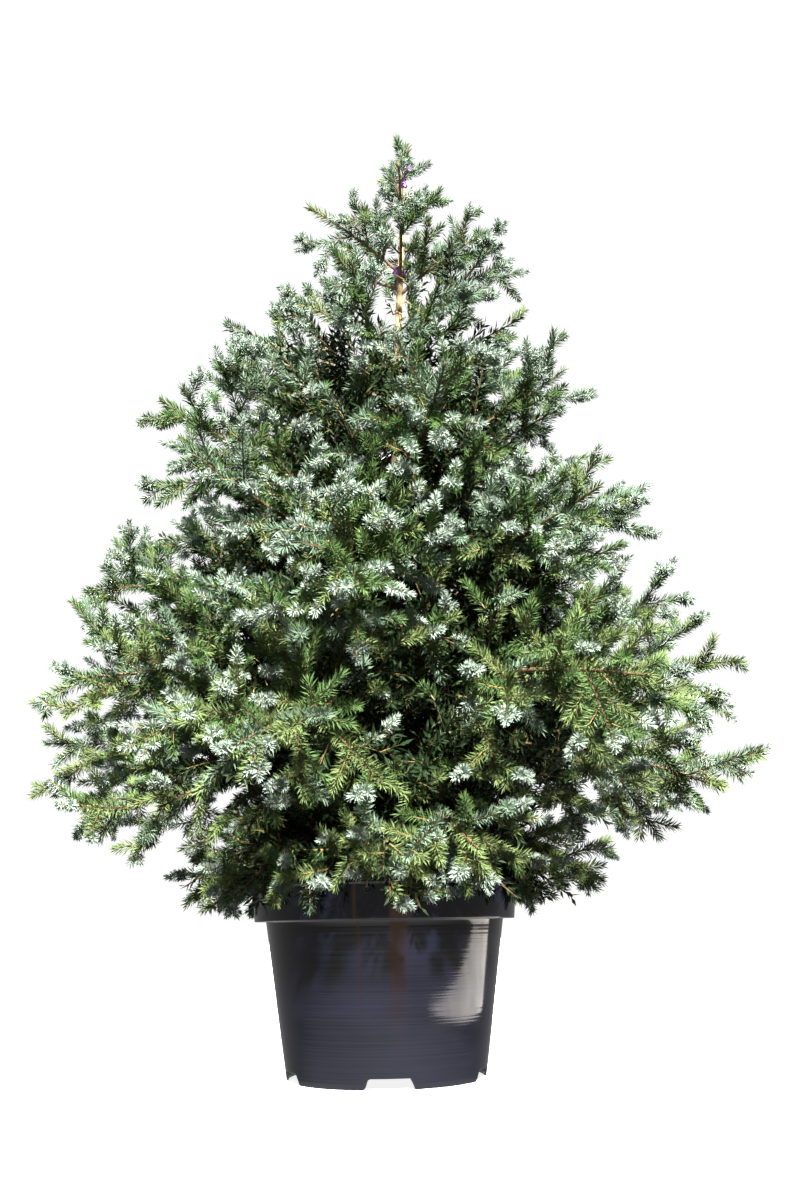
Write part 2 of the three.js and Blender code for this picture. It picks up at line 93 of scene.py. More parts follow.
CROWN_BOTTOM = 0.222
CROWN_REACH = 0.505
CROWN_CURVE = 1.2
CROWN_FULLNESS = 0.72
SKIRT_SHARE = 0.5
SKIRT_FOOT = 0.012
SKIRT_HEIGHT = 0.148
SKEW = -0.1
SKEW_SPAN = (0.620, 0.800)
CROWN_BOUGHS = 33
LOWEST_TIP, HIGHEST_TIP = 0.212, 1.055
TIP_CROWDING = 1.32
TIP_SCATTER = 0.024
TURN_SCATTER = 16
REACH_SCATTER = 0.07
RISE_TOP = 1.05
RISE_CURVE = 1.3
DROOP = 0.18
LOWEST_ROOT = 0.262
ROOT_STEP = 0.005
ARCH_LOW = 0.12
ARCH_FALL = 0.35
ARCH_LEAST = -0.05
BEND_SCATTER = 0.24
SMALL_BEND_SCATTER = 0.2
WHORL_BOUGHS = 5
WHORL_ROOT = 1.054
WHORL_STEP = 0.009
WHORL_REACH = 0.148
WHORL_REACH_SCATTER = 0.14
WHORL_TURN = -23
WHORL_RISE = 0.6
WHORL_RISE_SCATTER = 0.12
WHORL_ARCH = 0.03
SMALL_TURN_SCATTER = 10
LEADER_SHOOTS = 5
LEADER_ROOT = 1.128
LEADER_STEP = 0.020
LEADER_REACH = 0.042
LEADER_TAPER = 0.06
LEADER_REACH_SCATTER = 0.15
LEADER_TURN = 40
LEADER_RISE = 0.62
LEADER_RISE_STEP = 0.1
LEADER_ARCH = -0.03
LEADER_LEAN = 0.004
BARE_BOUGHS = 12
BARE_SHARE = 0.25
GOLDEN_ANGLE = 137.5
START_ANGLE = 225
SEED = 615
STEM_RADIUS = 0.0016
STEM_THICKENING = 0.0085
STEM_TIP_RADIUS = 0.0014
STEM_START = 0.1
STEM_START_LENGTH = 0.016
STEM_START_MOST = 0.3
STEM_START_PAST = 0.03
TWIG_SEED = 1000
TWIG_TURN_SCATTER = 30
TWIG_SPREADS = (58, 40)
TWIG_SPREAD_SCATTER = 8
TWIG_UPRIGHT = 0.7
TWIG_CURVE = 0.6
TWIG_LEAST = 0.08
TWIG_LENGTH = 0.024
LONG_STEM = 0.220

# ---- sizes of the finer growth
TWIG_SPACING = 0.024  # between two twigs on a bough
TWIG_SHARE = 0.42  # a twig's length as a share of its stem's, near the trunk
TWIG_LAST = 0.95
TWIG_RADIUS = 0.0016
SHOOT_SPACING = 0.025  # between two side shoots on a twig
SHOOT_RADIUS = 0.0011
SHOOT_SHARE = 0.40  # a side shoot's length as a share of its twig's
SHOOT_LEAST = 0.018
FINE_SPACING = 0.030
FINE_SHARE = 0.34
FINE_LEAST = 0.012
LONG_SHOOT = 0.055  # a side shoot longer than this bears side shoots of its own
TWIG_STEPS = 4
SHOOT_START = 0.12  # the share of a twig where its first side shoot leaves it
FINE_START = 0.2  # and the share of a long side shoot where its own first one does
LAST_SIDE = 0.93  # where the last ones leave, on both
SIDE_PLACES = (0.15, 0.85)  # each within its own stretch of the parent
SIDE_ROLL = 75  # side shoots roll so far up or down from level
SIDE_SPREADS = (56, 42)  # and lean out so far, at the foot and at the tip of their parent
SIDE_SPREAD_SCATTER = 14
SIDE_CURVE = 0.7
SIDE_SIZES = (0.75, 1.2)
LEAST_SIZES = (0.8, 1.3)
SIDE_LIFTS = (-0.06, 0.10)
SPANS_FROM = 0.4  # a stem's outer part, which bears needles itself
SPANS_PER_METRE = 14
FEWEST_SPANS = 3
NEW_LENGTHS = (0.0126, 0.0216)  # this year's pale growth at a tip
NEW_RADIUS = 0.0012
NEW_OUT = (0.45, 0.8)  # it comes from so far out, and oftener up the crown
NEW_HEIGHTS = (0.3, 0.95)
NEW_CHANCES = (0.44, 0.74)
NEW_BESIDE = 3
NEW_BESIDE_SIZE = 0.8
NEW_SPREADS = (38, 52)
NEW_ROLL = 25
NEW_LIFT = 0.10

WHORL_SPAN = (1.045, 1.10)  # the heights between which the outline narrows to the whorl's
LEADER_SPAN = (1.155, 1.19)  # and to the leader's
OUTLINE_SLACK = 0.010  # how far a tip may pass the crown's outline
INNER_BRANCHES = 96
INNER_CROWDING = 1.25  # more of them stand low, where the crown is wide
INNER_ROOTS = (0.30, 0.93)
INNER_SHARES = (0.544, 0.816)  # their reach as shares of the crown's
INNER_TURN_SCATTER = 0.4
INNER_RISE = 0.25
INNER_LIFTS = (0.035, 0.065)
SKIRT_BRANCHES = 74  # these hang out over the pot's rim
SKIRT_ROOTS = (0.256, 0.300)
SKIRT_REACHES = (0.2254, 0.2646)
SKIRT_TURN_SCATTER = 0.3
SKIRT_RISE = 0.16
SKIRT_DROOPS = (0.425, 0.575)
BRANCH_ROOT = 0.8  # how deep in the trunk these branches start, as a share of its radius
BRANCH_RADIUS = 0.00208
SKIRT_EDGES = (0.188, 0.246)  # the crown's lower edge beside the pot and further out
SKIRT_SPAN = (0.205, 0.33)
SKIRT_LIT = (0.140, 0.185)  # from this far out, low growth hangs in the light
SKIRT_SHADE = (0.27, 0.42)  # above this the crown's own inside starts
WINDOW_HEIGHTS = ((1.020, 1.135), (1.218, 1.264))  # where the leader shows through the needles
WINDOW_WIDTH = 0.014  # to each side of the leader
WINDOW_SLOPE = 0.61  # these openings rise towards the leader, as seen from low in front

TIERS = {"low": range(0, 9), "middle": range(9, 19), "upper": range(19, 33), "top": range(33, 44)}

# ---- camera
CAMERA_PLACE = (0.026, -1.488, 0.174)
CAMERA_PITCH = 15.85
CAMERA_ROLL = -1.0
CAMERA_LENS = 34.5
SENSOR_WIDTH = 36

UP = np.array([0.0, 0.0, 1.0])
STEEP = 0.97  # a direction that rises by more than this has no clear way to the side
MASK = 0xFFFFFFFF


# ---- small helpers
def seeded(seed):
    """The model's own even numbers from 0 to 1, the same on every run for one seed."""
    state = seed & MASK

    def draw():
        nonlocal state
        state = (state + 0x6D2B79F5) & MASK
        mix = ((state ^ (state >> 15)) * (state | 1)) & MASK
        mix ^= (mix + (((mix ^ (mix >> 7)) * (mix | 61)) & MASK)) & MASK
        return ((mix ^ (mix >> 14)) & MASK) / 2**32

    return draw


def lerp(a, b, share):
    return a + (b - a) * share


def smoothstep(value, low, high):
    share = np.clip((value - low) / (high - low), 0, 1)
    return share * share * (3 - 2 * share)


def unit(vectors):
    return vectors / np.linalg.norm(vectors, axis=-1, keepdims=True)


def column(values):
    return np.asarray(values)[..., None]


def frame_along(along):
    """The ways to the side and up for directions that run along shoots."""
    steep = np.abs(along[..., 2:3]) > STEEP
    level = np.where(steep, np.array([0.0, 1.0, 0.0]), UP)
    side = unit(np.cross(along, level))
    return side, np.cross(side, along)


def leaning(along, roll, spread):
    """Directions that lean away from others by an angle, and the ways out in which they lean."""
    side, up = frame_along(along)
    out = side * column(np.cos(roll)) + up * column(np.sin(roll))
    return along * column(np.cos(spread)) + out * column(np.sin(spread)), out


def circle(turn, height=0.0):
    """Points on a level circle of radius 1 at some compass angles."""
    return np.stack([np.cos(turn), np.sin(turn), np.full(len(turn), height)], -1)


def all_round(sides):
    """Even angles all round."""
    return np.arange(sides) * 2 * np.pi / sides


def spokes(along, sides):
    """Even directions all round each of the directions along shoots."""
    side, up = frame_along(along)
    turn = all_round(sides)
    return side[..., None, :] * column(np.cos(turn)) + up[..., None, :] * column(np.sin(turn))


# ---- meshes from arrays
def mesh_object(name, vertices, faces, smooth=False):
    """A mesh object from (n, 3) vertices and faces that all have the same number of corners."""
    mesh = bpy.data.meshes.new(name)
    vertices = np.asarray(vertices, np.float32).reshape(-1, 3)
    faces = np.asarray(faces, np.int32)
    count, corners = faces.shape
    mesh.vertices.add(len(vertices))
    mesh.vertices.foreach_set("co", vertices.ravel())
    mesh.loops.add(count * corners)
    mesh.loops.foreach_set("vertex_index", faces.ravel())
    mesh.polygons.add(count)
    mesh.polygons.foreach_set("loop_start", np.arange(count, dtype=np.int32) * corners)
    mesh.polygons.foreach_set("use_smooth", np.full(count, smooth))
    mesh.update(calc_edges=True)
    mesh.validate()
    piece = bpy.data.objects.new(name, mesh)
    bpy.context.scene.collection.objects.link(piece)
    return piece


def capped_faces(rings, sides):
    """The triangles of a tube of rings of points, numbered upwards, and a middle point at each end."""
    ring, here = np.meshgrid(np.arange(rings - 1), np.arange(sides), indexing="ij")
    corner = np.arange(sides)
    following = (corner + 1) % sides
    a, b = ring * sides + here, ring * sides + following[here]
    c, d = a + sides, b + sides
    walls = np.concatenate([np.stack([a, b, c], -1), np.stack([b, d, c], -1)]).reshape(-1, 3)
    foot, last = rings * sides, (rings - 1) * sides
    bottom = np.stack([np.full(sides, foot), following, corner], -1)
    top = np.stack([np.full(sides, foot + 1), last + corner, last + following], -1)
    return np.concatenate([walls, bottom, top])


def capped(wall, ends):
    """A closed tube from its (rings, sides, 3) wall and the middle points of its two ends."""
    rings, sides, _ = wall.shape
    return np.concatenate([wall.reshape(-1, 3), ends]), capped_faces(rings, sides)


def repeated(vertices, faces):
    """Many small shapes as one: their (n, corners, 3) vertices, and the faces that each one has."""
    count, corners, _ = vertices.shape
    starts = corners * np.arange(count)[:, None, None]
    return vertices.reshape(-1, 3), (np.asarray(faces) + starts).reshape(-1, 3)


def tube_arrays(centres, radii, sides):
    """Closed tubes along (n, rings, 3) centre lines, as vertices and triangles."""
    count, rings, _ = centres.shape
    along = unit(np.gradient(centres, axis=1))
    wall = centres[:, :, None] + spokes(along, sides) * radii[:, :, None, None]
    ends = np.stack([centres[:, 0], centres[:, -1]], axis=1)
    vertices = np.concatenate([wall.reshape(count, -1, 3), ends], axis=1)
    return repeated(vertices, capped_faces(rings, sides)[:, ::-1])


def turned(profile, sides):
    """A closed lathe of (radius, height) points that starts and ends on the axis."""
    profile = np.asarray(profile, float)
    wall = circle(all_round(sides)) * profile[1:-1, None, :1] + UP * profile[1:-1, None, 1:]
    return capped(wall, UP * profile[[0, -1], 1:])


def add_piece(name, arrays, material, nodes=(), smooth=False):
    """Makes one piece of the object, with its material and body, and hides what it replaces."""
    piece = mesh_object(name, *arrays, smooth=smooth)
    piece.data.materials.append(material)
    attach(piece, "root")
    if nodes:
        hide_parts(*nodes)


# ---- materials
def new_material(name, roughness, **sockets):
    """A Principled material whose even values sit on the shader's own sockets."""
    material = bpy.data.materials.new(name)
    material.use_nodes = True
    shader = material.node_tree.nodes["Principled BSDF"]
    shader.inputs["Roughness"].default_value = roughness
    for socket, value in sockets.items():
        shader.inputs[socket.replace("_", " ")].default_value = value
    return material, material.node_tree, shader


def add_noise(tree, scale, detail=4.0, stretch=(1, 1, 1)):
    """Noise in the object's own space, stretched along its axes."""
    place = tree.nodes.new("ShaderNodeTexCoord")
    mapping = tree.nodes.new("ShaderNodeMapping")
    mapping.inputs["Scale"].default_value = stretch
    texture = tree.nodes.new("ShaderNodeTexNoise")
    texture.inputs["Scale"].default_value = scale
    texture.inputs["Detail"].default_value = detail
    tree.links.new(place.outputs["Object"], mapping.inputs["Vector"])
    tree.links.new(mapping.outputs["Vector"], texture.inputs["Vector"])
    return texture.outputs["Fac"]


def add_ramp(tree, source, span, colours, target):
    """Leads a colour to a socket: one of two by a value, or between them inside the span."""
    ramp = tree.nodes.new("ShaderNodeValToRGB")
    for element, place, colour in zip(ramp.color_ramp.elements, span, colours):
        element.position = place
        element.color = (*colour, 1)
    tree.links.new(source, ramp.inputs["Fac"])
    tree.links.new(ramp.outputs["Color"], target)


def add_bump(tree, shader, source, distance, strength=1.0):
    bump = tree.nodes.new("ShaderNodeBump")
    bump.inputs["Distance"].default_value = distance
    bump.inputs["Strength"].default_value = strength
    tree.links.new(source, bump.inputs["Height"])
    tree.links.new(bump.outputs["Normal"], shader.inputs["Normal"])


def add_pick(tree, value, span, low, high):
    """A number from low to high as the value goes over a span; either end may be a socket."""
    pick = tree.nodes.new("ShaderNodeMapRange")
    pick.inputs["From Min"].default_value, pick.inputs["From Max"].default_value = span
    for end, number in (("To Min", low), ("To Max", high)):
        if isinstance(number, float):
            pick.inputs[end].default_value = number
        else:
            tree.links.new(number, pick.inputs[end])
    tree.links.new(value, pick.inputs["Value"])
    return pick.outputs["Result"]


def add_split(tree, coordinates):
    """The X, Y and Z of one kind of texture coordinates."""
    place = tree.nodes.new("ShaderNodeTexCoord")
    split = tree.nodes.new("ShaderNodeSeparateXYZ")
    tree.links.new(place.outputs[coordinates], split.inputs["Vector"])
    return split.outputs


def shades(colour, dark, light):
    """A darker and a lighter shade of one colour."""
    return tuple(c * dark for c in colour), tuple(c * light for c in colour)


def needle_material(name, colour):
    """Waxy needles: one base colour with slight changes from place to place."""
    material, tree, shader = new_material(name, 0.55, Specular_IOR_Level=0.15)
    grain = add_noise(tree, 14, detail=3)
    add_ramp(tree, grain, (0.32, 0.68), shades(colour, 0.8, 1.22), shader.inputs["Base Color"])
    return material


def twig_material(name, colour):
    """Ochre shoots with fine pegs where needles sat."""
    material, tree, shader = new_material(name, 0.6)
    grain = add_noise(tree, 90)
    add_ramp(tree, grain, (0.3, 0.7), shades(colour, 0.7, 1.25), shader.inputs["Base Color"])
    add_bump(tree, shader, add_noise(tree, 700, detail=2), 0.0003)
    return material


TAN_HEIGHTS = (0.55, 1.05)  # where grey-brown bark turns tan
GREY_BARK = ((0.055, 0.036, 0.022), (0.20, 0.145, 0.095))
TAN_BARK = ((0.26, 0.17, 0.085), (0.52, 0.37, 0.20))


def bark_material():
    """Scaly grey-brown bark below that turns tan towards the leader."""
    material, tree, shader = new_material("trunk_bark", 0.85)
    grain = add_noise(tree, 60, detail=6, stretch=(1, 1, 0.35))
    mix = tree.nodes.new("ShaderNodeMix")
    mix.data_type = "RGBA"
    height = add_pick(tree, add_split(tree, "Object")["Z"], TAN_HEIGHTS, 0.0, 1.0)
    tree.links.new(height, mix.inputs["Factor"])
    add_ramp(tree, grain, (0.3, 0.7), GREY_BARK, mix.inputs["A"])
    add_ramp(tree, grain, (0.3, 0.7), TAN_BARK, mix.inputs["B"])
    tree.links.new(mix.outputs["Result"], shader.inputs["Base Color"])
    add_bump(tree, shader, grain, 0.0015)
    return material


POT_BLACKS = ((0.0022, 0.0023, 0.0060), (0.0055, 0.0057, 0.0125))


def pot_material():
    """Glossy black moulded plastic with faint level bands and handling smears."""
    material, tree, shader = new_material("pot_plastic", 0.2, Specular_IOR_Level=0.5)
    dust = add_noise(tree, 9, detail=6, stretch=(1, 1, 2.5))
    add_ramp(tree, dust, (0.35, 0.75), POT_BLACKS, shader.inputs["Base Color"])
    smears = add_pick(tree, dust, (0.35, 0.65), 0.07, 0.14)
    tree.links.new(smears, shader.inputs["Roughness"])
    bands = add_noise(tree, 16, detail=3, stretch=(0.12, 0.12, 22))
    add_bump(tree, shader, bands, 0.0004, strength=0.2)
    return material


SOIL_BROWNS = ((0.012, 0.008, 0.005), (0.075, 0.050, 0.032))


def soil_material():
    """Dark potting soil with paler crumbs."""
    material, tree, shader = new_material("potting_soil", 0.95)
    grain = add_noise(tree, 120, detail=8)
    add_ramp(tree, grain, (0.35, 0.7), SOIL_BROWNS, shader.inputs["Base Color"])
    add_bump(tree, shader, grain, 0.002)
    return material


TAPE_PURPLES = ((0.40, 0.12, 0.68), (0.60, 0.26, 0.88))


def tape_material():
    """Thin purple plastic marking tape."""
    material, tree, shader = new_material("marking_tape", 0.35)
    add_ramp(tree, add_noise(tree, 60), (0.3, 0.7), TAPE_PURPLES, shader.inputs["Base Color"])
    return material


FLOOR_GLOW = 0.84  # keeps the plant's shadow faint
FLOOR_WHITES = ((0.80, 0.80, 0.80), (0.83, 0.83, 0.83))


def floor_material():
    material, tree, shader = new_material("studio_floor", 0.9, Emission_Strength=FLOOR_GLOW)
    shader.inputs["Emission Color"].default_value = (1, 1, 1, 1)
    add_ramp(tree, add_noise(tree, 3), (0.3, 0.7), FLOOR_WHITES, shader.inputs["Base Color"])
    return material


# ---- pot and soil
POT_SIDES = 240
CORNER_STEPS = 4
CORNER_RADIUS = 0.0012
CORNER_SHARE = 0.45  # the most of a short side that a rounded corner takes
WALL_STEP = 0.006
FOOT_RING_SHARE = 0.9  # the foot ring lies outside this share of its radius


def body_radius(height):
    return lerp(FOOT_RADIUS, BODY_TOP_RADIUS, height / (POT_HEIGHT - BAND_HEIGHT))


def band_radius(height):
    return lerp(BAND_FOOT_RADIUS, RIM_RADIUS, (height - POT_HEIGHT + BAND_HEIGHT) / BAND_HEIGHT)


def cut_back(corner, other):
    """The point on the way from a corner to its neighbour where the rounding starts."""
    length = np.linalg.norm(other - corner)
    return corner + (other - corner) / length * min(CORNER_RADIUS, CORNER_SHARE * length)


def rounded_profile(corners):
    """A profile whose inner corners are rounded and whose long stretches have points between."""
    corners = np.asarray(corners, float)
    points = [corners[0]]
    for before, corner, after in zip(corners[:-2], corners[1:-1], corners[2:]):
        start, end = cut_back(corner, before), cut_back(corner, after)
        count = int(np.linalg.norm(start - points[-1]) // WALL_STEP)
        points += [lerp(points[-1], start, k / (count + 1)) for k in range(1, count + 1)]
        for share in np.linspace(0, 1, CORNER_STEPS + 1):
            points.append(lerp(lerp(start, corner, share), lerp(corner, end, share), share))
    points.append(corners[-1])
    return points


def cut_notches(vertices):
    """Lifts the foot ring's lower edge into the notches, along the slope of its wall."""
    turn = np.degrees(np.arctan2(vertices[:, 1], vertices[:, 0])) + 90 - NOTCH_TURN
    pitch = 360 / NOTCHES
    away = np.abs((turn + pitch / 2) % pitch - pitch / 2)
    depth = 1 - smoothstep(2 * away, *NOTCH_ANGLES)
    floor = NOTCH_HEIGHT * depth
    height = vertices[:, 2]
    radius = np.hypot(vertices[:, 0], vertices[:, 1])
    low = (height < BASE_CLEARANCE) & (radius > FOOT_RING_SHARE * FOOT_RADIUS)
    lifted = floor + height * (BASE_CLEARANCE - floor) / BASE_CLEARANCE
    slope = (BODY_TOP_RADIUS - FOOT_RADIUS) / (POT_HEIGHT - BAND_HEIGHT)
    grown = 1 + (lifted - height) * slope / np.maximum(radius, 1e-6)
    vertices[low, :2] *= grown[low, None]
    vertices[low, 2] = lifted[low]
    return vertices


def make_pot():
    band_foot = POT_HEIGHT - BAND_HEIGHT
    floor_top = BASE_CLEARANCE + POT_WALL
    inner_step = band_foot + POT_WALL
    lip_foot = POT_HEIGHT - LIP_HEIGHT
    corners = [
        (0, BASE_CLEARANCE),
        (body_radius(BASE_CLEARANCE) - POT_WALL, BASE_CLEARANCE),
        (FOOT_RADIUS - POT_WALL, 0),
        (FOOT_RADIUS, 0),
        (BODY_TOP_RADIUS, band_foot),
        (BAND_FOOT_RADIUS, band_foot),
        (band_radius(lip_foot), lip_foot),
        (RIM_RADIUS + LIP_WIDTH, lip_foot),
        (RIM_RADIUS + LIP_WIDTH, POT_HEIGHT),
        (RIM_RADIUS - POT_WALL, POT_HEIGHT),
        (BAND_FOOT_RADIUS - POT_WALL, inner_step),
        (BODY_TOP_RADIUS - POT_WALL, inner_step),
        (body_radius(floor_top) - POT_WALL, floor_top),
        (0, floor_top),
    ]
    vertices, faces = turned(rounded_profile(corners), POT_SIDES)
    arrays = cut_notches(vertices), faces
    add_piece("pot_shell", arrays, pot_material(), ["pot"], smooth=True)


SOIL_SIDES = 160
SOIL_STEP = 0.003
SOIL_RELIEF = 0.0022
# Coarse and fine lumps: how many to a metre, their height in the noise, their share of the relief.
SOIL_LUMPS = ((45, 0.3, 0.7), (190, 4.1, 0.5))
SURFACE_DEPTH = 0.0075  # the soil's rough top lies no deeper than this under its level
CRUMBS = 420
CRUMB_RADIUS = 0.0035
CRUMB_SIZES = (0.4, 1.2)  # as shares of that radius, and then corner by corner
CORNER_SIZES = (0.6, 1.1)
CRUMB_FLATNESS = 0.6
CRUMBS_FROM = 0.04  # the bare ring round the trunk, and the one inside the pot's wall
CRUMBS_TO_WALL = 0.008


def soil_top(radius):
    """The height of the soil: level round the trunk, then falling a little to the pot."""
    edge = band_radius(SOIL_LEVEL) - POT_WALL
    return SOIL_LEVEL - SOIL_EDGE_DROP * smoothstep(radius, SOIL_FLAT_RADIUS, edge)


def soil_relief(x, y):
    lumps = [share * noise.noise(Vector((x * many, y * many, z))) for many, z, share in SOIL_LUMPS]
    return SOIL_RELIEF * sum(lumps)


def make_soil():
    floor_top = BASE_CLEARANCE + POT_WALL + GAP
    inner_step = POT_HEIGHT - BAND_HEIGHT + POT_WALL
    side = POT_WALL + GAP
    edge = band_radius(SOIL_LEVEL - SOIL_EDGE_DROP) - side
    top = [(edge * k, soil_top(edge * k)) for k in np.arange(1, 0, -SOIL_STEP / edge)]
    profile = [
        (0, floor_top),
        (body_radius(floor_top) - side, floor_top),
        (BODY_TOP_RADIUS - side, inner_step + GAP),
        (band_radius(inner_step + GAP) - side, inner_step + GAP),
        *top,
        (0, SOIL_LEVEL),
    ]
    vertices, faces = turned(profile, SOIL_SIDES)
    surface = vertices[:, 2] > SOIL_LEVEL - SURFACE_DEPTH
    vertices[surface, 2] += [soil_relief(x, y) for x, y in vertices[surface, :2]]
    crumbs, crumb_faces = soil_crumbs(edge)
    faces = np.concatenate([faces, crumb_faces + len(vertices)])
    arrays = np.concatenate([vertices, crumbs]), faces
    add_piece("soil_surface", arrays, soil_material(), ["soil"])


def soil_crumbs(edge):
    """Small lumps of soil and bark, half sunk in the surface: eight faces each."""
    rng = np.random.default_rng(SEED)
    radius = np.sqrt(rng.uniform(CRUMBS_FROM**2, (edge - CRUMBS_TO_WALL) ** 2, CRUMBS))
    turn = rng.uniform(0, 2 * np.pi, CRUMBS)
    centre = circle(turn) * column(radius) + UP * column(soil_top(radius))
    corners = np.array([[1, 0, 0], [0, 1, 0], [-1, 0, 0], [0, -1, 0], [0, 0, 1], [0, 0, -1]])
    size = CRUMB_RADIUS * rng.uniform(*CRUMB_SIZES, (CRUMBS, 1, 1))
    size = size * rng.uniform(*CORNER_SIZES, (CRUMBS, 6, 1)) * np.array([1, 1, CRUMB_FLATNESS])
    ring = [(0, 1), (1, 2), (2, 3), (3, 0)]
    faces = [(a, b, 4) for a, b in ring] + [(b, a, 5) for a, b in ring]
    return repeated(centre[:, None] + corners * size, faces)


# ---- trunk
TRUNK_RINGS = 420
TRUNK_SIDES = 56
RING_CROWDING = 1.15  # more rings lie low, where the trunk is thick
BARK_RELIEF = 0.0011
SCALES_PER_METRE = 42  # up the trunk
SCALES_ROUND = 2.2  # the radius of the ring of noise that goes round it
SCALE_FINENESS = 1.6
CRACK_FINENESS = 3.1
CRACK_DEPTH = 0.8  # against the scales'
CRACK_SHARPNESS = 6


def trunk_axis(height):
    above = np.asarray(height) - SOIL_LEVEL
    sway = TRUNK_SWAY * np.sin(above / SWAY_HEIGHT)
    return np.stack([TRUNK_LEAN * above + SWAY_TO_SIDE * sway, sway, above + SOIL_LEVEL], -1)


def trunk_radius(height):
    above = np.asarray(height) - SOIL_LEVEL
    share = np.clip(above / (TRUNK_TIP - SOIL_LEVEL), 0, 1)
    flare = FLARE_RADIUS * np.exp(-above / FLARE_HEIGHT)
    return lerp(TRUNK_RADIUS, TRUNK_TIP_RADIUS, share**TRUNK_TAPER) + flare


def bark_relief(turn, height):
    """Upright scales of bark: how far the surface stands out at one place."""
    ring = SCALES_ROUND * math.cos(turn), SCALES_ROUND * math.sin(turn)
    place = Vector((*ring, height * SCALES_PER_METRE))
    scales = noise.noise(place * SCALE_FINENESS)
    cracks = abs(noise.noise(place * CRACK_FINENESS + Vector((7, 3, 1))))
    return scales - CRACK_DEPTH * (1 - min(1, cracks * CRACK_SHARPNESS))


def make_trunk():
    share = np.linspace(0, 1, TRUNK_RINGS) ** RING_CROWDING
    height = lerp(SOIL_LEVEL + GAP, TRUNK_TIP, share)
    turn = all_round(TRUNK_SIDES)
    near = np.exp(-(height - SOIL_LEVEL) / FLARE_HEIGHT)
    lobes = 1 + FLARE_LOBE_DEPTH * near[:, None] * np.cos(FLARE_LOBES * turn)[None]
    relief = np.array([[bark_relief(t, h) for t in turn] for h in height])
    depth = BARK_RELIEF * np.minimum(1, trunk_radius(height) / TRUNK_RADIUS)[:, None]
    radius = trunk_radius(height)[:, None] * lobes + depth * relief
    wall = trunk_axis(height)[:, None] + circle(turn) * radius[..., None]
    arrays = capped(wall, trunk_axis(height[[0, -1]]))
    add_piece("trunk_bark", arrays, bark_material(), ["trunk"], smooth=True)


# ---- stems of the foliage masses
class Stem:
    """A bough, or the leader: its path by share, and what its twigs need to know of it."""

    def __init__(self, path, start, radius, tip_radius):
        self.path = path
        self.start = start
        self.radius = radius
        self.tip_radius = tip_radius
        ends = path(np.array([0.0, 1.0]))
        self.length = float(np.linalg.norm(ends[1] - ends[0]))


def crown_share(height):
    return np.clip((height - CROWN_BOTTOM) / (TREE_HEIGHT - CROWN_BOTTOM), 0, 1)


def crown_reach(height, angle):
    """How far from the trunk a tip at this height and compass angle reaches."""
    crown = (1 - crown_share(height) ** CROWN_CURVE) ** CROWN_FULLNESS
    low = smoothstep(height, LOWEST_TIP - SKIRT_FOOT, LOWEST_TIP + SKIRT_HEIGHT)
    skew = SKEW * smoothstep(height, *SKEW_SPAN)
    return CROWN_REACH * crown * lerp(SKIRT_SHARE, 1, low) * (1 + skew * np.cos(angle))


def outline(height, angle):
    """The furthest from the trunk that growth reaches: the crown, the whorl, then the slim leader."""
    whorl = lerp(crown_reach(height, angle), WHORL_REACH, smoothstep(height, *WHORL_SPAN))
    return lerp(whorl, LEADER_REACH, smoothstep(height, *LEADER_SPAN))


def crown_bough(number):
    rand = seeded(SEED + number)
    order = (number / (CROWN_BOUGHS - 1)) ** TIP_CROWDING
    tip = lerp(LOWEST_TIP, HIGHEST_TIP, order) + TIP_SCATTER * (rand() - 0.5)
    angle = math.radians(START_ANGLE + number * GOLDEN_ANGLE + TURN_SCATTER * (rand() - 0.5))
    reach = float(crown_reach(tip, angle)) * (1 - REACH_SCATTER * rand())
    share = float(crown_share(tip))
    rise = RISE_TOP * share**RISE_CURVE - DROOP
    root = max(tip - reach * rise, LOWEST_ROOT + number * ROOT_STEP)
    arch = max(ARCH_LOW - ARCH_FALL * share, ARCH_LEAST)
    return root, angle, reach, tip, arch, BEND_SCATTER * (rand() - 0.5)


def whorl_bough(number):
    rand = seeded(SEED + CROWN_BOUGHS + number)
    root = WHORL_ROOT + WHORL_STEP * number
    place = ((number * 2) % WHORL_BOUGHS) / WHORL_BOUGHS
    angle = math.radians(WHORL_TURN + 360 * place + SMALL_TURN_SCATTER * rand())
    reach = WHORL_REACH * (1 - WHORL_REACH_SCATTER * rand())
    tip = root + reach * (WHORL_RISE + WHORL_RISE_SCATTER * rand())
    return root, angle, reach, tip, WHORL_ARCH, SMALL_BEND_SCATTER * (rand() - 0.5)


def leader_shoot(number):
    rand = seeded(SEED + CROWN_BOUGHS + WHORL_BOUGHS + number)
    root = LEADER_ROOT + LEADER_STEP * number
    angle = math.radians(LEADER_TURN + number * GOLDEN_ANGLE + SMALL_TURN_SCATTER * rand())
    reach = LEADER_REACH * (1 - LEADER_TAPER * number) * (1 - LEADER_REACH_SCATTER * rand())
    tip = root + reach * (LEADER_RISE + LEADER_RISE_STEP * number)
    return root, angle, reach, tip, LEADER_ARCH, SMALL_BEND_SCATTER * (rand() - 0.5)


def bough_stem(bough, bare):
    """The stem of one bough, whose path is the model's."""
    root, angle, reach, tip, arch, bend = bough
    foot = trunk_axis(root)
    out = np.array([math.cos(angle), math.sin(angle), 0.0])
    aside = np.array([-out[1], out[0], 0.0])

    def path(share):
        share = np.asarray(share, float)
        height = lerp(root, tip, share) + arch * reach * np.sin(np.pi * share)
        level = np.array([foot[0], foot[1], 0.0]) + out * column(reach * share)
        return level + aside * column(bend * reach * share**2) + UP * column(height)

    stem = Stem(path, 0, STEM_RADIUS + STEM_THICKENING * reach, STEM_TIP_RADIUS)
    grown = min(STEM_START_MOST, STEM_START_LENGTH / stem.length + STEM_START)
    stem.start = BARE_SHARE + STEM_START_PAST if bare else grown
    return stem


